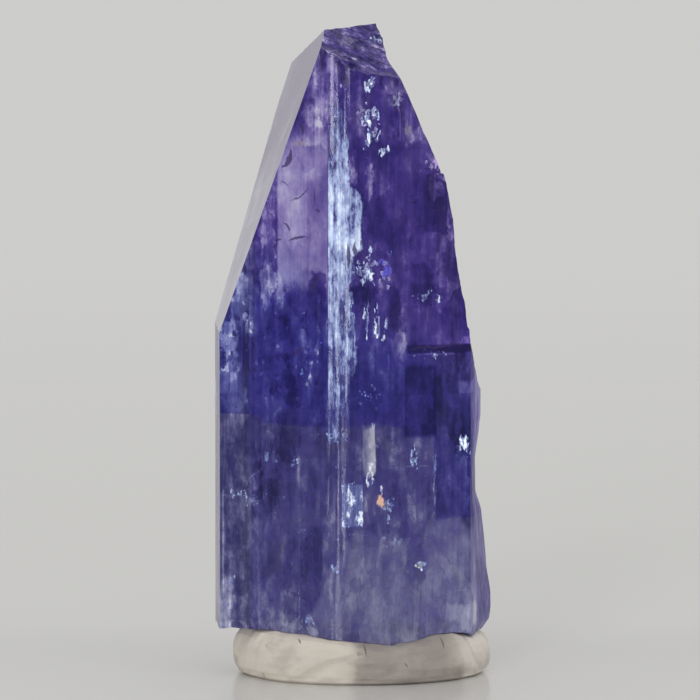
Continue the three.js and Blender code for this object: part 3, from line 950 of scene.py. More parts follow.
    def _glint_sheen(self, inner: InnerPattern) -> Socket:
        """How much painted glint the rough spots have: bright grains that fill a patch as far as its amount
        says.

        Args:
            inner: the masks and clouds.

        Returns:
            How silvery each point is.
        """
        pane = inner.pane(self.glint_pane)
        amount = inner.ovals(self.glint_patches).most(0.68 * pane)
        sparkle = (0.5 * amount + 2.6 * (inner.flecks - 0.5)).step(0.22, 0.7) * amount.step(0.05, 0.4)
        return sparkle.most((0.3 * inner.flecks + 0.35 * inner.streaks) * pane)

    @staticmethod
    def _tube(inner: InnerPattern) -> Socket:
        """How much the whitish growth tube covers: an upright bore, round below and brighter to the right.

        Args:
            inner: the masks and clouds.

        Returns:
            The factor of the tube's colour.
        """
        bore = inner.x - 0.6 + 0.25 * (inner.blotches - 0.5)
        height = inner.z - 3 * bore * bore
        inside = bore.window(-0.25, 0.26, 0.04) * height.window(8.2, 10.2, 0.12) * inner.front
        return inside * (0.4 + 0.45 * bore.step(-0.2, 0.22) + 0.9 * (inner.flecks - 0.45)).clamp()

    def _speck(self, inner: InnerPattern) -> Socket:
        """Where the rusty speck is: a ragged upright oval low on the front.

        Args:
            inner: the masks and clouds.

        Returns:
            The factor of the speck's colour.
        """
        spot = inner.graph.vector("SUBTRACT", inner.point, self.rust_at)
        reach = inner.graph.vector("LENGTH", inner.graph.stretched(spot, (1.4, 0.2, 0.66)))
        return (reach + 0.9 * inner.flecks).step(0.68, 0.58)

    def _band_sheen(self, inner: InnerPattern) -> Socket:
        """How much painted highlight the ridge facet has: a patchy silvery sheen along its striations,
        strongest two thirds up.

        Args:
            inner: the masks and clouds.

        Returns:
            How silvery each point is.
        """
        graph, x, z = inner.graph, inner.x, inner.z
        lines = graph.cloud(inner.point, (7.0, 7.0, 0.45), 4.0, 0.7)
        blotches = graph.cloud(inner.point, (2.2, 2.2, 0.9), 3.0, 0.6)
        past = x + 0.9 * (inner.flecks - 0.5) - graph.profile(z, self.band_edge)
        strength = graph.profile(z, self.band_strength)
        pattern = 1.1 * inner.flecks + 1.1 * lines + 0.8 * blotches - 1.48 + 0.5 * strength
        filled = (pattern - inner.pane(self.dimmer_pane)).step(-0.12, 0.95) * strength.step(0.0, 0.35)
        ridge = inner.y.step(-2.9, -3.1) * (1 - inner.broken)
        return x.step(-1.04, -0.98) * past.step(0.06, -0.06) * ridge * filled


@dataclass(frozen=True)
class GlintFinish:
    """Silvery films in the cracks and tubes inside the crystal, a little green to offset its violet."""

    colour: Colour = (0.7, 1.0, 0.92)
    roughness: float = 0.18

    def material(self) -> bpy.types.Material:
        """Builds the material of the silvery films.

        Returns:
            The material.
        """
        graph = Graph(bpy.data.materials.new("crack_film"))
        speckle = graph.cloud(graph.millimetres(), (9.0, 9.0, 9.0), 2.0, 0.5)
        inputs = {"Base Color": self.colour, "Roughness": self.roughness + 0.25 * speckle, "Metallic": 1.0}
        return graph.finish(graph.node("BsdfPrincipled", inputs))


@dataclass(frozen=True)
class PuttyFinish:
    """Matt off-white tack, a little greyer where it was touched, with painted shade right of its crease and a
    painted lighter far end.
    """

    clean: Colour = (0.76, 0.7, 0.62)
    handled_and_shaded: Colour = (0.4, 0.36, 0.33)
    painted_light: Colour = (0.92, 0.86, 0.79)
    grime_and_shade: Colour = (0.16, 0.14, 0.1)
    splits: tuple[Line, ...] = each(
        Line,
        ((0.38, 1.62), (0.5, 1.18), 0.03, 0.08), ((3.4, 1.8), (3.6, 1.3), 0.04, 0.07),
        ((-2.2, 1.8), (-2.1, 1.6), 0.02, 0.08), ((2.0, 0.9), (2.15, 0.7), 0.02, 0.06),
    )

    def material(self) -> bpy.types.Material:
        """Builds the putty's material.

        Returns:
            The material.
        """
        graph = Graph(bpy.data.materials.new("tack"))
        point = graph.millimetres()
        x, y, z = graph.axes(point)
        smear = graph.cloud(point, (0.55, 0.55, 1.1), 4.0, 0.6)
        grain = graph.cloud(point, (7.0, 7.0, 7.0), 3.0, 0.6)
        front = y.step(-1.5, -2.5)
        crease = x + 1.2 * (smear - 0.5) - 0.25 * z
        # Painted shade: right of the crease the putty is darkened as the side turned from the light.
        shade_right_of_crease = crease.step(-0.6, 0.5) * x.step(4.75, 3.5) * front
        # Painted shade along the crease, low down.
        edge = crease.window(-0.05, 0.2, 0.15) * front * z.step(1.3, 0.6)
        # Stains at the lower right; low down they also paint the shade where the putty meets the table.
        stain_and_contact_shade = x.window(3.9, 4.9, 0.4) * z.window(-0.4, 0.7, 0.3) * smear.step(0.4, 0.6)
        specks = 0.5 * graph.cloud(point, (2.4, 2.4, 2.4), 1.0, 0.5).step(0.72, 0.78)
        # Real smudges and specks, with the painted shade added.
        dirt_and_shade = 0.4 * smear.step(0.5, 0.72) + 0.92 * shade_right_of_crease + 0.2 * edge + specks
        marks = (0.6 * stain_and_contact_shade + graph.lines(point, self.splits)).clamp() * front
        colour = graph.layered(
            self.clean,
            # Painted light: the far right end is made lighter.
            (x.step(3.6, 4.8), self.painted_light),
            (dirt_and_shade.clamp(), self.handled_and_shaded),
            (0.8 * marks, self.grime_and_shade),
        )
        inputs = {
            "Base Color": colour,
            "Roughness": 0.62 + 0.25 * grain,
            "Specular IOR Level": 0.35,
            "Normal": graph.bump(grain, 0.03, 0.5),
        }
        return graph.finish(graph.node("BsdfPrincipled", inputs))


# ---- the crystal


@dataclass(frozen=True)
class PrismFace:
    """One prism face, named by its first vertical edge seen from above, anticlockwise, in mm."""

    name: str
    x: float
    y: float
    ribs: int
    relief: float


@dataclass(frozen=True)
class Layer:
    """A thin growth layer on a face, from one x to another, that ends downwards in a ledge."""

    face: str
    start: float
    end: float
    bottom: float
    thickness: float


@dataclass(frozen=True)
class Groove:
    """A groove that runs the whole height of a face."""

    face: str
    x: float
    width: float
    depth: float


@dataclass(frozen=True)
class End:
    """A plane that ends the crystal: a point on it, its outward normal and its ripples, in mm."""

    name: str
    at: tuple[float, float, float]
    normal: tuple[float, float, float]
    relief: float
    seed: int
    region: Region

    def outward(self) -> Array:
        """The normal at length 1."""
        return np.array(self.normal) / np.linalg.norm(self.normal)


@dataclass
class TanzaniteCrystal:
    """The striated prism, less what has broken away at its ends and sides."""

    tip_height: float = 26.0
    riser: float = 0.08
    ledge: float = 0.06
    column_step: float = 0.075
    row_step: float = 0.26
    crease: float = math.radians(9)
    rib_depth: float = 0.2
    layer_depth: float = 0.08
    groove_depth: float = 0.1
    chip_depth: float = 0.035
    chip_width: float = 0.1
    smooth_width: float = 0.15
    faces: tuple[PrismFace, ...] = each(
        PrismFace,
        ("left_front", -5.33, -1.5, 13, 0.025), ("ridge", -1.06, -3.35, 5, 0.01),
        ("right_front", -0.14, -3.56, 15, 0.03), ("right", 4.66, -1.95, 5, 0.035),
        ("right_back", 5.08, 0.9, 8, 0.06), ("back", 3.7, 3.3, 10, 0.05), ("left_back", 0.5, 4.2, 10, 0.05),
        ("left_corner", -3.0, 4.3, 8, 0.05), ("left", -5.56, 1.05, 5, 0.02),
    )
    layers: tuple[Layer, ...] = each(
        Layer,
        ("left_front", -5.1, -3.72, 11.0, 0.05), ("left_front", -2.9, -2.1, 11.4, 0.04),
        ("right_front", 0.35, 1.93, 10.0, 0.06), ("right_front", 2.0, 3.18, 9.65, 0.11),
        ("right_front", 3.25, 4.5, 6.45, 0.08), ("right_front", 3.3, 4.45, 13.1, 0.1),
        ("back", 1.2, 2.6, 15.5, 0.12), ("left_back", -2.4, -0.9, 8.2, 0.1),
    )
    grooves: tuple[Groove, ...] = each(
        Groove,
        ("left_front", -3.58, 0.16, 0.03), ("left_front", -3.24, 0.1, 0.05), ("back", 2.9, 0.3, 0.12),
        ("left_back", -2.75, 0.3, 0.14),
    )
    ends: tuple[End, ...] = each(
        End,
        ("bevel", (-3.29, -2.35, 19.6), (-0.938, -0.112, 0.315), 0.0, 20, Region.BEVEL),
        ("tip_front", (-0.23, -1.9, 25.98), (0.384, -0.68, 0.73), 0.1, 23, Region.BROKEN),
        ("tip_back", (-0.23, -1.9, 25.98), (-0.2225, 0.18, 0.98), 0.03, 26, Region.BROKEN),
    )
    right_flare: Stops = (
        (0, -0.3), (1.7, 0.05), (1.9, 0.28), (2.1, 0.38), (2.5, 0.44), (3.2, 0.43), (4.0, 0.3), (5.5, 0.16),
        (6.6, 0.04), (7.2, -0.18), (8.6, -0.2), (10.3, 0.03), (13, 0),
    )
    flank_outline: Stops = (
        (10.6, 6.4), (11.6, 5.72), (13.3, 4.82), (15.2, 4.48), (16.8, 4.14), (18.6, 3.98), (20.3, 3.58),
        (21.8, 2.83), (23.4, 2.08), (24.8, 1.34), (25.6, 1.3), (26.2, 1.14), (28, 0.9),
    )
    flank_front: float = -2.5
    flank_slant: float = 0.24
    shoulder_x: float = 2.05
    shoulder_z: float = 20.15
    shoulder_turn: float = 0.2
    shoulder_lean: float = 0.045
    shoulder_size: float = 9.0
    scoop_at: tuple[float, float] = (1.9, 2.6)
    scoop_half: tuple[float, float] = (3.2, 3.5)
    scoop_depth: float = 0.24
    scoop_rim: float = 1.2
    cut_near: float = 6.0
    cut_far: float = 18.0
    cut_step: float = 0.07
    finish: ZoisiteFinish = field(default_factory=ZoisiteFinish)

    def plan(self, k: int) -> tuple[PrismFace, float, float, float, tuple[float, float]]:
        """Looks up a face in plan.

        Args:
            k: the face's number.

        Returns:
            Its data, its run to the next edge in x and in y, its length and its outward normal.
        """
        face, following = self.faces[k], self.faces[(k + 1) % len(self.faces)]
        dx, dy = following.x - face.x, following.y - face.y
        length = math.hypot(dx, dy)
        return face, dx, dy, length, (dy / length, -dx / length)

    def right_front(self, x: float, z: float) -> tuple[float, float, Array]:
        """The right front face's run to the right and to the back, and its plane's point at an x and a z."""
        face, dx, dy, _, _ = self.plan([face.name for face in self.faces].index("right_front"))
        return dx, dy, np.array([x, face.y + dy / dx * (x - face.x), z])

    def ribs(self, k: int) -> Array:
        """A face's striations.

        Args:
            k: the face's number.

        Returns:
            Lines of share of the face and outward, in mm, ending on its plane.
        """
        face, _, _, length, _ = self.plan(k)
        i = np.arange(face.ribs)
        shares = (i + 0.6 + 0.7 * (chance(k * 31 + i) - 0.5)) / (face.ribs + 0.2)
        outward = (2 * chance(k * 71 + i * 3) - 1) * face.relief
        outward[-1] = 0
        before = np.concatenate([[0], outward[:-1]])
        points = np.stack([shares, before, shares + self.riser / length, outward], 1).reshape(-1, 2)
        return np.concatenate([[[0, 0]], points, [[1, 0]]])

    def groove_line(self, k: int) -> Array:
        """A face's grooves.

        Args:
            k: the face's number.

        Returns:
            Lines of share of the face and outward, in mm.
        """
        face, dx, _, _, _ = self.plan(k)
        lines = [[0.0, 0.0], [1.0, 0.0]]
        for groove in self.grooves:
            if groove.face == face.name:
                half = groove.width / 2
                for x, outward in ((-half, 0.0), (0.0, -groove.depth), (half, 0.0)):
                    lines.append([(groove.x + x - face.x) / dx, outward])
        return np.array(sorted(lines))

    def wall_strip(self, k: int, rows: Array, run: float) -> Array:
        """The points of face k.

        The striations, the grooves, the growth layers, chips along the edges and fine upright noise move a
        point of the face's plan line along its normal. The broken side's flare moves it to the right.

        Args:
            k: which face.
            rows: the heights of the rows, in mm.
            run: distance along the outline up to this face, in mm.

        Returns:
            An array of rows by columns by 3, in mm.
        """
        face, dx, dy, length, normal = self.plan(k)
        ribs, grooves = self.ribs(k), self.groove_line(k)
        layers = [layer for layer in self.layers if layer.face == face.name]
        sides = [x for layer in layers for x in (layer.start, layer.end)]
        edges = np.array([x + shift for x in sides for shift in (-self.ledge, 0, self.ledge)])
        even = spread(0, 1, self.column_step / length)
        shares = np.concatenate([ribs[:, 0], grooves[:, 0], (edges - face.x) / dx, even])
        shares = thinned(shares[(shares >= 0) & (shares < 1 - 1e-3)], 4, 0.012 / length)
        share, height = np.meshgrid(shares, rows)
        x, y = face.x + dx * share, face.y + dy * share
        out = self.rib_depth * follow(share, ribs) + self.groove_depth * follow(share, grooves)
        for layer in layers:
            sides = np.minimum((x - layer.start) / self.ledge + 1, (layer.end - x) / self.ledge + 1)
            above = (height - layer.bottom) / self.ledge + 1
            out += self.layer_depth * layer.thickness * np.clip(sides, 0, 1) * np.clip(above, 0, 1)
        along, edge = run + share * length, np.minimum(share, 1 - share) * length
        chipped = np.clip(noise(height * 1.4, 3.0 * k + 0.5, 52) - 0.3, 0, 1)
        out -= self.chip_depth * chipped * np.exp(-((edge / self.chip_width) ** 2))
        fine = 0.012 * noise(along * 5, height * 0.1, 50) + 0.006 * noise(along * 12, height * 0.3, 51)
        out += np.clip(edge / self.smooth_width, 0, 1) * fine
        flare = {"right": share, "right_back": 1 - share}.get(face.name, 0 * share)
        x = x + normal[0] * out + flare * follow(height, self.right_flare)
        return np.stack([x, y + normal[1] * out, height], -1)

    def prism(self) -> bpy.types.Object:
        """The whole prism before its ends break: the faces' strips side by side, closed at each end.

        Returns:
            The prism.
        """
        ledges = [layer.bottom - shift for layer in self.layers for shift in (0, self.ledge)]
        rows = thinned(np.concatenate([spread(0, self.tip_height + 1, self.row_step), ledges]), 3, 0.02)
        lengths = [self.plan(k)[3] for k in range(len(self.faces))]
        strips = [self.wall_strip(k, rows, sum(lengths[:k])) for k in range(len(self.faces))]
        caps = [[0, 0, rows[0]], [0, 0, rows[-1]]]
        return ringed_object("tanzanite_crystal", np.concatenate(strips, 1), caps, True, Region.STRIATED)

    @staticmethod
    def block(name: str, surface: Array, away: Array, region: Region) -> bpy.types.Object:
        """A closed block behind a working surface: its rim is carried along `away` and closed by a fan.

        Args:
            name: the block's name.
            surface: rows by columns by 3 points in mm, whose quads face against `away`.
            away: how far and which way the block goes back from the surface, in mm.
            region: the region that the cut leaves on the crystal.

        Returns:
            The block as an object.
        """
        rows, columns = surface.shape[:2]
        numbers = np.arange(rows * columns).reshape(rows, columns)
        rim = np.concatenate([numbers[0, :-1], numbers[:-1, -1], numbers[-1, :0:-1], numbers[:0:-1, 0]])
        front = surface.reshape(-1, 3)
        back = front[rim] + away
        far = len(front) + np.arange(len(rim))
        points = np.concatenate([front, back, [back.mean(0)]])
        sides = np.stack([rim, np.roll(rim, -1), np.roll(far, -1), far], 1)[:, ::-1]
        faces = [grid_quads(rows, columns), sides, fan(far, len(points) - 1)[:, ::-1]]
        return make_object(name, points, faces, region)

    def plane_block(self, end: End) -> bpy.types.Object:
        """A block beyond an end's plane, whose face stands out by shell ripples, facets and finer facets.

        Args:
            end: which end it breaks, and how.

        Returns:
            The block.
        """
        fine = spread(-self.cut_near, self.cut_near, self.cut_step) if end.relief else np.array([-10.0, 10.0])
        steps = np.concatenate([[-self.cut_far], fine, [self.cut_far]])
        u, v = np.meshgrid(steps, steps)
        out = end.outward()
        up = np.array([0, 0, 1.0]) - out * out[2]
        up /= np.linalg.norm(up)
        across = np.cross(up, out)
        ripple = 0.5 * shell_ripple(u, v, end.seed) + 0.8 * facets(u * 1.9, v * 2.4, end.seed + 5)
        ripple += 0.25 * facets(u * 4.5, v * 5.5, end.seed + 7)
        w = np.where(np.maximum(abs(u), abs(v)) == self.cut_far, 0, end.relief * ripple)
        surface = np.array(end.at) + u[..., None] * across + v[..., None] * up + w[..., None] * out
        return self.block(end.name, surface[:, ::-1], out * 16, end.region)

    def flank_block(self) -> bpy.types.Object:
        """The block that breaks the upper right flank: an outline, drawn in to the back, and ripples.

        Returns:
            The block.
        """
        bottom, top = self.flank_outline[0][0], self.flank_outline[-1][0]
        y, z = np.meshgrid(spread(-7, 7, 0.13), spread(bottom, top, 0.13))
        behind = y - self.flank_front
        ripple = 0.09 * shell_ripple(y * 0.6, z * 0.45, 5) + 0.03 * shell_ripple(y * 1.7, z * 1.7, 8)
        ripple = ripple * smooth(behind, -0.4, 1.2)
        x = follow(z, self.flank_outline) - self.flank_slant * behind + ripple
        return self.block("flank", np.stack([x, y, z], -1)[:, ::-1], np.array([9.0, 0, 0]), Region.BROKEN)

    def shoulder_block(self) -> bpy.types.Object:
        """The block that takes a facet off the front's upper right and leaves a ledge below it.

        Returns:
            The block.
        """
        dx, dy, corner = self.right_front(self.shoulder_x, self.shoulder_z)
        u, w = np.meshgrid(spread(0, self.shoulder_size, 0.25), spread(0, self.shoulder_size, 0.25))
        depth = 0.012 * noise(u * 2.0, w * 0.8, 60) * smooth(w, 0, 0.3)
        angle, lean = math.atan2(dy, dx) + self.shoulder_turn, self.shoulder_lean
        x, y = u * math.cos(angle) - depth * math.sin(angle), u * math.sin(angle) + depth * math.cos(angle)
        tilted = [x * math.cos(lean) - w * math.sin(lean), y, x * math.sin(lean) + w * math.cos(lean)]
        away = np.array([math.sin(angle), -math.cos(angle), 0]) * self.shoulder_size
        return self.block("shoulder", (np.stack(tilted, -1) + corner)[:, ::-1], away, Region.STRIATED)

    def root_block(self) -> bpy.types.Object:
        """The block that breaks the root, up to root_height.

        Returns:
            The block.
        """
        x, y = np.meshgrid(spread(-6.5, 6.5, 0.12), spread(-5.5, 5.5, 0.12))
        z = root_height(x, y) + 0.02 * shell_ripple(x * 1.6, y * 1.6, 70)
        return self.block("root", np.stack([x, y, z], -1), np.array([0, 0, -4.0]), Region.BROKEN)

    def scoop_block(self) -> bpy.types.Object:
        """The block that takes the scoop: a dish in the right front face with concentric ripples.

        Returns:
            The block.
        """
        dx, dy, centre = self.right_front(*self.scoop_at)
        wide, tall = self.scoop_half
        reach_u, reach_v = self.scoop_rim * wide, self.scoop_rim * tall
        u, v = np.meshgrid(spread(-reach_u, reach_u, 0.11), spread(-reach_v, reach_v, 0.11))
        away = np.hypot(u / wide, v / tall)
        dish = self.scoop_depth * (1 - away**2) + 0.04 * np.sin(11 * away)
        inward = np.maximum(dish + 0.07 * noise(u * 1.1, v * 1.1, 40), -0.3)[..., None]
        across, up = np.array([dx, dy, 0]) / math.hypot(dx, dy), np.array([0, 0, 1.0])
        out = np.array([across[1], -across[0], 0])
        surface = centre + u[..., None] * across + v[..., None] * up - inward * out
        return self.block("scoop", surface[:, ::-1], out * 2, Region.BROKEN)

    def front_y(self, x: Array, z: Array) -> Array:
        """The y of the crystal's surface at a point of the front view: the wall, or the tip's plane.

        Args:
            x: distance to the right, in mm.
            z: height, in mm.

        Returns:
            The distance to the back, in mm.
        """
        edges = [(face.x, face.y) for face in self.faces[:5]]
        tip = self.ends[1]
        slope = -tip.normal[2] / tip.normal[1]
        shoulder = self.shoulder_turn * np.maximum(x - self.shoulder_x, 0) * (z > self.shoulder_z)
        return np.maximum(follow(x, edges) + shoulder, tip.at[1] + (z - tip.at[2]) * slope)

    def holds(self, points: Array, margin: float) -> Array:
        """Whether each point is inside the crystal.

        Args:
            points: one line of x, y, z for each point, in mm.
            margin: how far inside it has to be at least, in mm.

        Returns:
            One answer for each point.
        """
        x, y, z = points.T
        held = z > root_height(x, y) + margin
        for k in range(len(self.faces)):
            face, _, _, _, normal = self.plan(k)
            held &= (x - face.x) * normal[0] + (y - face.y) * normal[1] < -margin
        for end in self.ends:
            held &= (points - np.array(end.at)) @ end.outward() < -margin
        flank = follow(z, self.flank_outline) - self.flank_slant * (y - self.flank_front)
        return held & ((z < self.flank_outline[0][0]) | (x < flank - margin))

    def build(self) -> bpy.types.Object:
        """Cuts the blocks from the prism, dresses the result and sets it in place of the plain solid.

        Returns:
            The crystal.
        """
        crystal = self.prism()
        blocks = [self.plane_block(end) for end in self.ends]
        blocks += [self.flank_block(), self.shoulder_block(), self.root_block(), self.scoop_block()]
        for block in blocks:
            cut = crystal.modifiers.new(block.name, "BOOLEAN")
            cut.operation, cut.solver, cut.object = "DIFFERENCE", "MANIFOLD", block
        evaluated = crystal.evaluated_get(bpy.context.evaluated_depsgraph_get())
        mesh = bpy.data.meshes.new_from_object(evaluated)
        crystal.modifiers.clear()
        crystal.data = mesh
        for block in blocks:
            bpy.data.objects.remove(block)
        mesh.set_sharp_from_angle(angle=self.crease)
        mesh.materials.clear()
        mesh.materials.append(self.finish.material())
        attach(crystal, "root")
        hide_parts("tanzanite_crystal")
        return crystal


# ---- inside the crystal


@dataclass(frozen=True)
class Cluster:
    """Silvery flakes behind the front faces: their middle, spread, number, size and height over width."""

    x: float
    z: float
    width: float
    height: float
    count: int
    size: float
    stretch: float = 1.0


@dataclass
class Inclusions:
    """Silvery flakes and growth tubes inside a crystal."""

    crystal: TanzaniteCrystal
    light: Vector
    view: tuple[float, float, float] = (0.0, -0.996, 0.087)
    behind: float = 0.22
    scattered: int = 420
    tubes: int = 90
    tube_stretch: float = 14.0
    seed: int = 7
    clusters: tuple[Cluster, ...] = each(
        Cluster,
        (0.7, 23.81, 0.36, 0.36, 12, 0.14), (0.42, 22.75, 0.4, 0.45, 12, 0.16),
        (0.85, 22.65, 0.26, 0.36, 9, 0.16), (0.46, 22.2, 0.24, 0.52, 10, 0.13, 1.6),
        (0.82, 21.8, 0.4, 0.5, 12, 0.16), (1.12, 21.2, 0.3, 0.16, 6, 0.15, 0.6),
        (0.46, 16.41, 0.88, 0.72, 34, 0.15, 1.2), (1.22, 16.39, 0.48, 0.88, 9, 0.14, 1.6),
        (0.51, 14.65, 0.08, 1.1, 6, 0.12, 6), (0.95, 14.4, 0.1, 0.96, 6, 0.14, 5),
        (1.26, 14.37, 0.06, 0.84, 3, 0.08, 6), (2.94, 15.26, 0.72, 0.16, 10, 0.13),
        (-5.0, 13.42, 0.3, 1.28, 26, 0.12), (4.3, 9.34, 0.46, 1.04, 40, 0.2, 1.3),
        (2.34, 8.9, 0.2, 0.84, 16, 0.12, 1.5), (-3.9, 7.36, 2.2, 0.34, 40, 0.1, 0.7),
        (-4.95, 3.46, 0.48, 1.52, 34, 0.11, 1.2), (2.68, 4.63, 0.3, 0.22, 14, 0.16),
        (1.36, 7.01, 0.28, 1.0, 16, 0.12, 1.2), (1.5, 5.56, 0.64, 0.6, 14, 0.14),
        (-1.66, 2.49, 0.32, 0.52, 12, 0.14, 1.6), (-1.96, 12.38, 0.12, 0.16, 3, 0.15),
        (-2.26, 11.23, 0.24, 0.28, 6, 0.14), (-3.36, 9.0, 0.12, 0.48, 3, 0.12, 3),
        (-2.42, 8.8, 0.56, 0.32, 9, 0.13), (-0.66, 4.54, 0.24, 0.48, 6, 0.13, 1.6),
        (3.18, 7.89, 0.06, 2.72, 6, 0.05, 14), (0.58, 11.49, 0.64, 0.64, 18, 0.12),
        (-0.68, 9.94, 0.84, 0.56, 24, 0.1), (3.05, 20.55, 0.3, 0.4, 7, 0.15, 1.5),
        (1.74, 23.25, 0.2, 0.36, 6, 0.14, 1.3), (3.18, 13.09, 1.2, 0.08, 10, 0.16, 0.25),
        (0.6, 25.3, 0.8, 0.3, 12, 0.14), (0.14, 24.82, 1.12, 0.24, 12, 0.12),
        (-0.58, 18.6, 0.6, 4.6, 110, 0.08, 2.0), (0.1, 18.4, 0.3, 1.6, 30, 0.1, 2.5),
        (-0.6, 15.0, 0.5, 3.0, 40, 0.07, 1.6), (-0.05, 7.1, 0.7, 1.6, 34, 0.06, 1.5),
    )
    finish: GlintFinish = field(default_factory=GlintFinish)

    def facing(self, x: Array) -> Array:
        """The planes of cracks that flash: halfway between the view and the light, both refracted.

        Args:
            x: how far to the right the cracks are, in mm.

        Returns:
            One normal for each crack.
        """
        edges = [face.x for face in self.crystal.faces[1:3]]
        normals = np.array([(*self.crystal.plan(k)[4], 0.0) for k in range(3)])
        wall, ior = normals[np.searchsorted(edges, x)], self.crystal.finish.ior
        half = np.zeros_like(wall)
        for outside in (np.array(self.view), np.array(self.light)):
            cosine = wall @ outside
            inside = np.sqrt(1 - (1 - cosine**2) / ior**2)
            half += outside / ior + (inside - cosine / ior)[:, None] * wall
        return half / np.linalg.norm(half, axis=1)[:, None]

    def flakes(self, centres: Array, sizes: Array, stretches: Array, lean: float, dice: Dice) -> Array:
        """The points of thin lens-like flakes.

        A flake is an uneven six-sided rim round its centre, on the plane that flashes there, turned by a
        random lean, and a point on either side at a fiftieth of its size.

        Args:
            centres: one line of x, y, z for each flake, in mm.
            sizes: each flake's width, in mm.
            stretches: each flake's height over its width.
            lean: how far the flakes' normals spread.
            dice: the random numbers.

        Returns:
            An array of flakes by 8 points by 3, in mm.
        """
        count = len(centres)
        normal = self.facing(centres[:, 0]) + lean * dice.normal(size=(count, 3))
        normal /= np.linalg.norm(normal, axis=1)[:, None]
        across = np.cross(normal, [0, 0, 1.0])
        across /= np.linalg.norm(across, axis=1)[:, None] + 1e-9
        up = np.cross(across, normal)
        turn = np.arange(6) * np.pi / 3 + dice.uniform(-0.3, 0.3, (count, 6))
        radius = sizes[:, None] * dice.uniform(0.25, 0.6, (count, 6))
        u, v = radius * np.cos(turn), radius * np.sin(turn) * stretches[:, None]
        rim = centres[:, None] + u[..., None] * across[:, None] + v[..., None] * up[:, None]
        thick = (sizes[:, None, None] * normal[:, None] / 50) * np.array([1, -1])[None, :, None]
        return np.concatenate([rim, centres[:, None] + thick], 1)

    @staticmethod
    def flake_faces(count: int) -> Array:
        """The triangles of all flakes: each rim edge joined to the point on either side.

        Args:
            count: how many flakes.

        Returns:
            One line of three point numbers for each triangle.
        """
        rim = np.arange(6)
        one = np.concatenate([fan(rim, 6), fan(rim, 7)[:, (1, 0, 2)]])
        return (one[None] + 8 * np.arange(count)[:, None, None]).reshape(-1, 3)

    def placed(self, dice: Dice) -> Array:
        """The flakes of every cluster, just behind the front.

        Args:
            dice: the source of random numbers.

        Returns:
            The flakes' points.
        """
        groups = []
        for cluster in self.clusters:
            spot = dice.normal(size=(cluster.count, 2)) * 0.32
            x = cluster.x + spot[:, 0] * cluster.width
            z = cluster.z + spot[:, 1] * cluster.height
            y = self.crystal.front_y(x, z) + self.behind + dice.uniform(0, 0.3, cluster.count) + 0.3 * (z < 6)
            sizes = cluster.size * dice.uniform(0.5, 1.3, cluster.count)
            stretches = np.full(cluster.count, cluster.stretch)
            flakes = self.flakes(np.stack([x, y, z], 1), sizes, stretches, 0.06, dice)
            held = self.crystal.holds(flakes.reshape(-1, 3), 0.03).reshape(-1, 8).all(1)
            groups.append(flakes[held])
        return np.concatenate(groups)

    def strewn(self, dice: Dice) -> Array:
        """Small flakes and upright tubes strewn through the whole crystal.

        Args:
            dice: the source of random numbers.

        Returns:
            The flakes' points.
        """
        count = self.scattered + self.tubes
        box = dice.uniform((-5.5, -3.6, 1.6), (5.5, 4.4, 26), (6 * count, 3))
        centres = box[self.crystal.holds(box, 0.45)][:count]
        stretches = np.where(np.arange(len(centres)) < self.scattered, 1.0, self.tube_stretch)
        sizes = dice.uniform(0.04, 0.14, len(centres)) * np.where(stretches > 1, 0.5, 1.0)
        above, below = (self.crystal.holds(centres + [0, 0, reach], 0.2) for reach in (0.7, -0.7))
        return self.flakes(centres, sizes, np.where(above & below, stretches, 1.0), 0.35, dice)

    def build(self) -> bpy.types.Object:
        """Makes all flakes as one piece.

        Returns:
            The flakes.
        """
        dice = np.random.default_rng(self.seed)
        flakes = np.concatenate([self.placed(dice), self.strewn(dice)])
        glints = make_object("internal_glints", flakes.reshape(-1, 3), [self.flake_faces(len(flakes))])
        glints.data.polygons.foreach_set("use_smooth", np.zeros(len(glints.data.polygons), bool))
        glints.data.materials.append(self.finish.material())
        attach(glints, "root")
        return glints


# ---- the putty


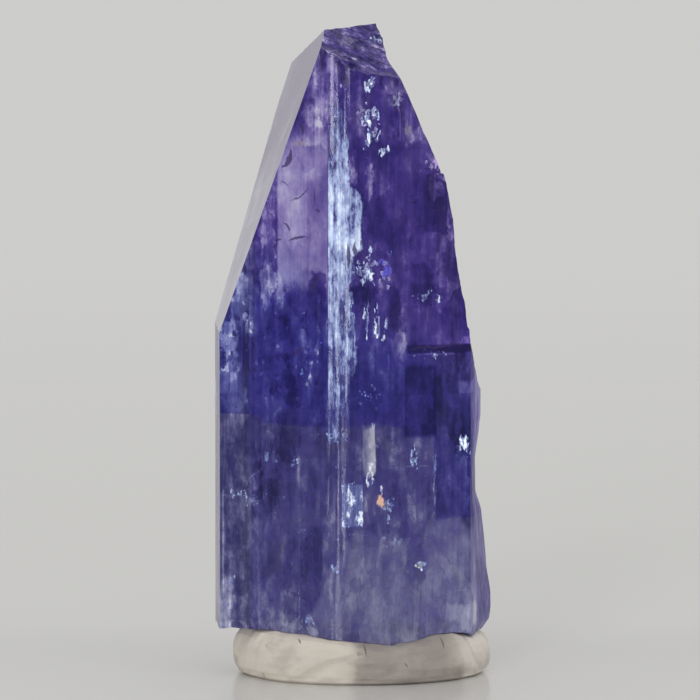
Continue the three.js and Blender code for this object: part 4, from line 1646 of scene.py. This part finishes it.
@dataclass
class MountingPutty:
    """An oval lump of tack, flat below and moulded to the crystal's root above."""

    centre: tuple[float, float] = (0.33, 0.15)
    half_width: float = 5.07
    half_depth: float = 4.3
    gap: float = 0.015
    around: int = 360
    section: Stops = (
        (0, 1), (0.81, 1), (0.9, 0.99), (0.955, 0.93), (0.985, 0.8), (1, 0.62), (1, 0.36), (0.99, 0.18),
        (0.965, 0.06), (0.92, 0),
    )
    finish: PuttyFinish = field(default_factory=PuttyFinish)

    def build(self) -> bpy.types.Object:
        """Carries the section round the oval, with lumps, dents and a moulded top.

        A point is at a share of the oval's radius, varied by noise, and of the root's height there.

        Returns:
            The putty.
        """
        line = np.array(self.section)
        steps = np.concatenate([[0], np.cumsum(np.hypot(*np.diff(line, axis=0).T))])
        places = spread(0, steps[-1], 0.014)[1:]
        share, height = (np.interp(places, steps, side)[:, None] for side in line.T)
        turn = np.linspace(0, 2 * np.pi, self.around, endpoint=False)[None, :]
        c, s = np.cos(turn), np.sin(turn)
        side = smooth(share, 0.6, 1.0) * smooth(height, 0.0, 0.15)
        reach = share * (1 + 0.025 * noise(3 + 2 * c, 3 + 2 * s, 30))
        reach = reach * (1 + side * 0.012 * noise(9 + 5 * c, 9 + 5 * s + 2 * height, 31))
        dents = np.clip(noise(7 * c + 2 * s, 7 * s - 2 * c + 3 * height, 33), 0, 1)
        reach = reach * (1 - side * 0.035 * dents)
        reach = reach * (1 + side * 0.009 * noise(19 * c, 19 * s + 5 * height, 34))
        x, y = self.centre[0] + reach * self.half_width * c, self.centre[1] + reach * self.half_depth * s
        rings = np.stack([x, y, height * (root_height(x, y) - self.gap)], -1)
        top = float(root_height(*map(np.array, self.centre))) - self.gap
        caps = [[*self.centre, top], [*self.centre, 0]]
        putty = ringed_object("mounting_putty_dressed", rings, caps, False)
        putty.data.materials.append(self.finish.material())
        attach(putty, "root")
        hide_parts("mounting_putty")
        return putty


# ---- the studio


@dataclass
class Studio:
    """A pale table and backdrop, a soft light, and the camera."""

    aim: tuple[float, float, float] = (-0.14, 0.0, 13.0)
    distance: float = 268.0
    elevation: float = 5.0
    frame_width: float = 28.0
    sensor: float = 36.0
    clip: tuple[float, float] = (0.01, 20.0)
    backdrop: Colour = (0.61, 0.607, 0.597)
    key_azimuth: float = -16.0
    key_elevation: float = 12.0
    key_distance: float = 600.0
    key_size: tuple[float, float] = (140.0, 420.0)
    key_watts: float = 1.2
    board: Colour = (0.74, 0.735, 0.725)
    board_shade: Colour = (0.68, 0.675, 0.67)
    board_rings: tuple[float, ...] = (8, 14, 25, 50, 90, 140, 200, 260)

    @staticmethod
    def towards(azimuth: float, elevation: float) -> Vector:
        """The direction from the crystal at an azimuth right of the front and an elevation, in degrees."""
        a, e = math.radians(azimuth), math.radians(elevation)
        return Vector((math.sin(a) * math.cos(e), -math.cos(a) * math.cos(e), math.sin(e)))

    def place(self, data: bpy.types.Camera | bpy.types.Light, out: Vector, away: float) -> bpy.types.Object:
        """Sets a camera or a light at a distance from the aim, in mm, facing it.

        Args:
            data: the camera or the light.
            out: the direction from the aim to it.
            away: how far it is from the aim.

        Returns:
            Its object.
        """
        made = bpy.data.objects.new(data.name, data)
        made.location = (Vector(self.aim) + out * away) * MM
        made.rotation_euler = out.to_track_quat("Z", "Y").to_euler()
        bpy.context.scene.collection.objects.link(made)
        return made

    def camera(self) -> None:
        """The camera, on the -Y side, looking slightly down at the aim."""
        data = bpy.data.cameras.new("camera")
        data.sensor_width = self.sensor
        data.lens = self.sensor * self.distance / self.frame_width
        data.clip_start, data.clip_end = self.clip
        bpy.context.scene.camera = self.place(data, self.towards(0.0, self.elevation), self.distance)

    def world(self) -> None:
        """Pale light from all round, dimmer from the camera's side."""
        world = bpy.data.worlds.new("tent")
        bpy.context.scene.world = world
        graph = Graph(world)
        _, y, z = graph.axes(graph.node("TexCoord", {}, "Generated"))
        front = y.step(0.1, -0.75) * z.step(0.75, 0.2)
        strength = 1 - 0.6 * front + 0.3 * z.step(0.3, 0.9)
        surface = graph.node("Background", {"Color": self.backdrop, "Strength": strength})
        graph.finish(surface, kind="OutputWorld")

    def key(self) -> None:
        """The rectangular soft light, to the left of the camera."""
        data = bpy.data.lights.new("key", "AREA")
        data.shape = "RECTANGLE"
        data.size, data.size_y = (side * MM for side in self.key_size)
        data.energy = self.key_watts
        self.place(data, self.towards(self.key_azimuth, self.key_elevation), self.key_distance)

    def table(self) -> None:
        """A flat round of pale board that fades into the backdrop, with painted shade that makes it a little
        darker behind the crystal.
        """
        radius = np.array(self.board_rings)[:, None]
        turn = np.linspace(0, 2 * np.pi, 96, endpoint=False)[None, :]
        rings = np.stack([radius * np.cos(turn), radius * np.sin(turn), 0 * radius * turn], -1)
        made = ringed_object("table", rings, [[0, 0, 0]], False)
        graph = Graph(bpy.data.materials.new("board"))
        point = graph.millimetres()
        # Painted shade: the board is darker in a band just behind the crystal.
        behind = graph.axes(point)[1].window(4.0, 11.0, 7.0)
        inputs = {
            "Base Color": graph.mix(behind, self.board, self.board_shade),
            "Roughness": 0.2,
            "Alpha": graph.vector("LENGTH", point).step(240.0, 40.0),
        }
        made.data.materials.append(graph.finish(graph.node("BsdfPrincipled", inputs)))

    def build(self) -> None:
        """Sets the camera, the light and the table."""
        self.camera()
        self.world()
        self.key()
        self.table()
        bpy.context.scene.view_settings.view_transform = "Standard"


def main() -> None:
    """Builds the studio and the pieces in order, and logs each piece."""
    logging.basicConfig(level=logging.INFO, format="%(name)s: %(message)s")
    studio = Studio()
    studio.build()
    crystal = TanzaniteCrystal()
    inclusions = Inclusions(crystal, studio.towards(studio.key_azimuth, studio.key_elevation))
    for piece in (crystal.build(), inclusions.build(), MountingPutty().build()):
        LOG.info("%s has %d triangles", piece.name, face_count(piece))
    bpy.context.view_layer.update()


if __name__ == "__main__":
    main()
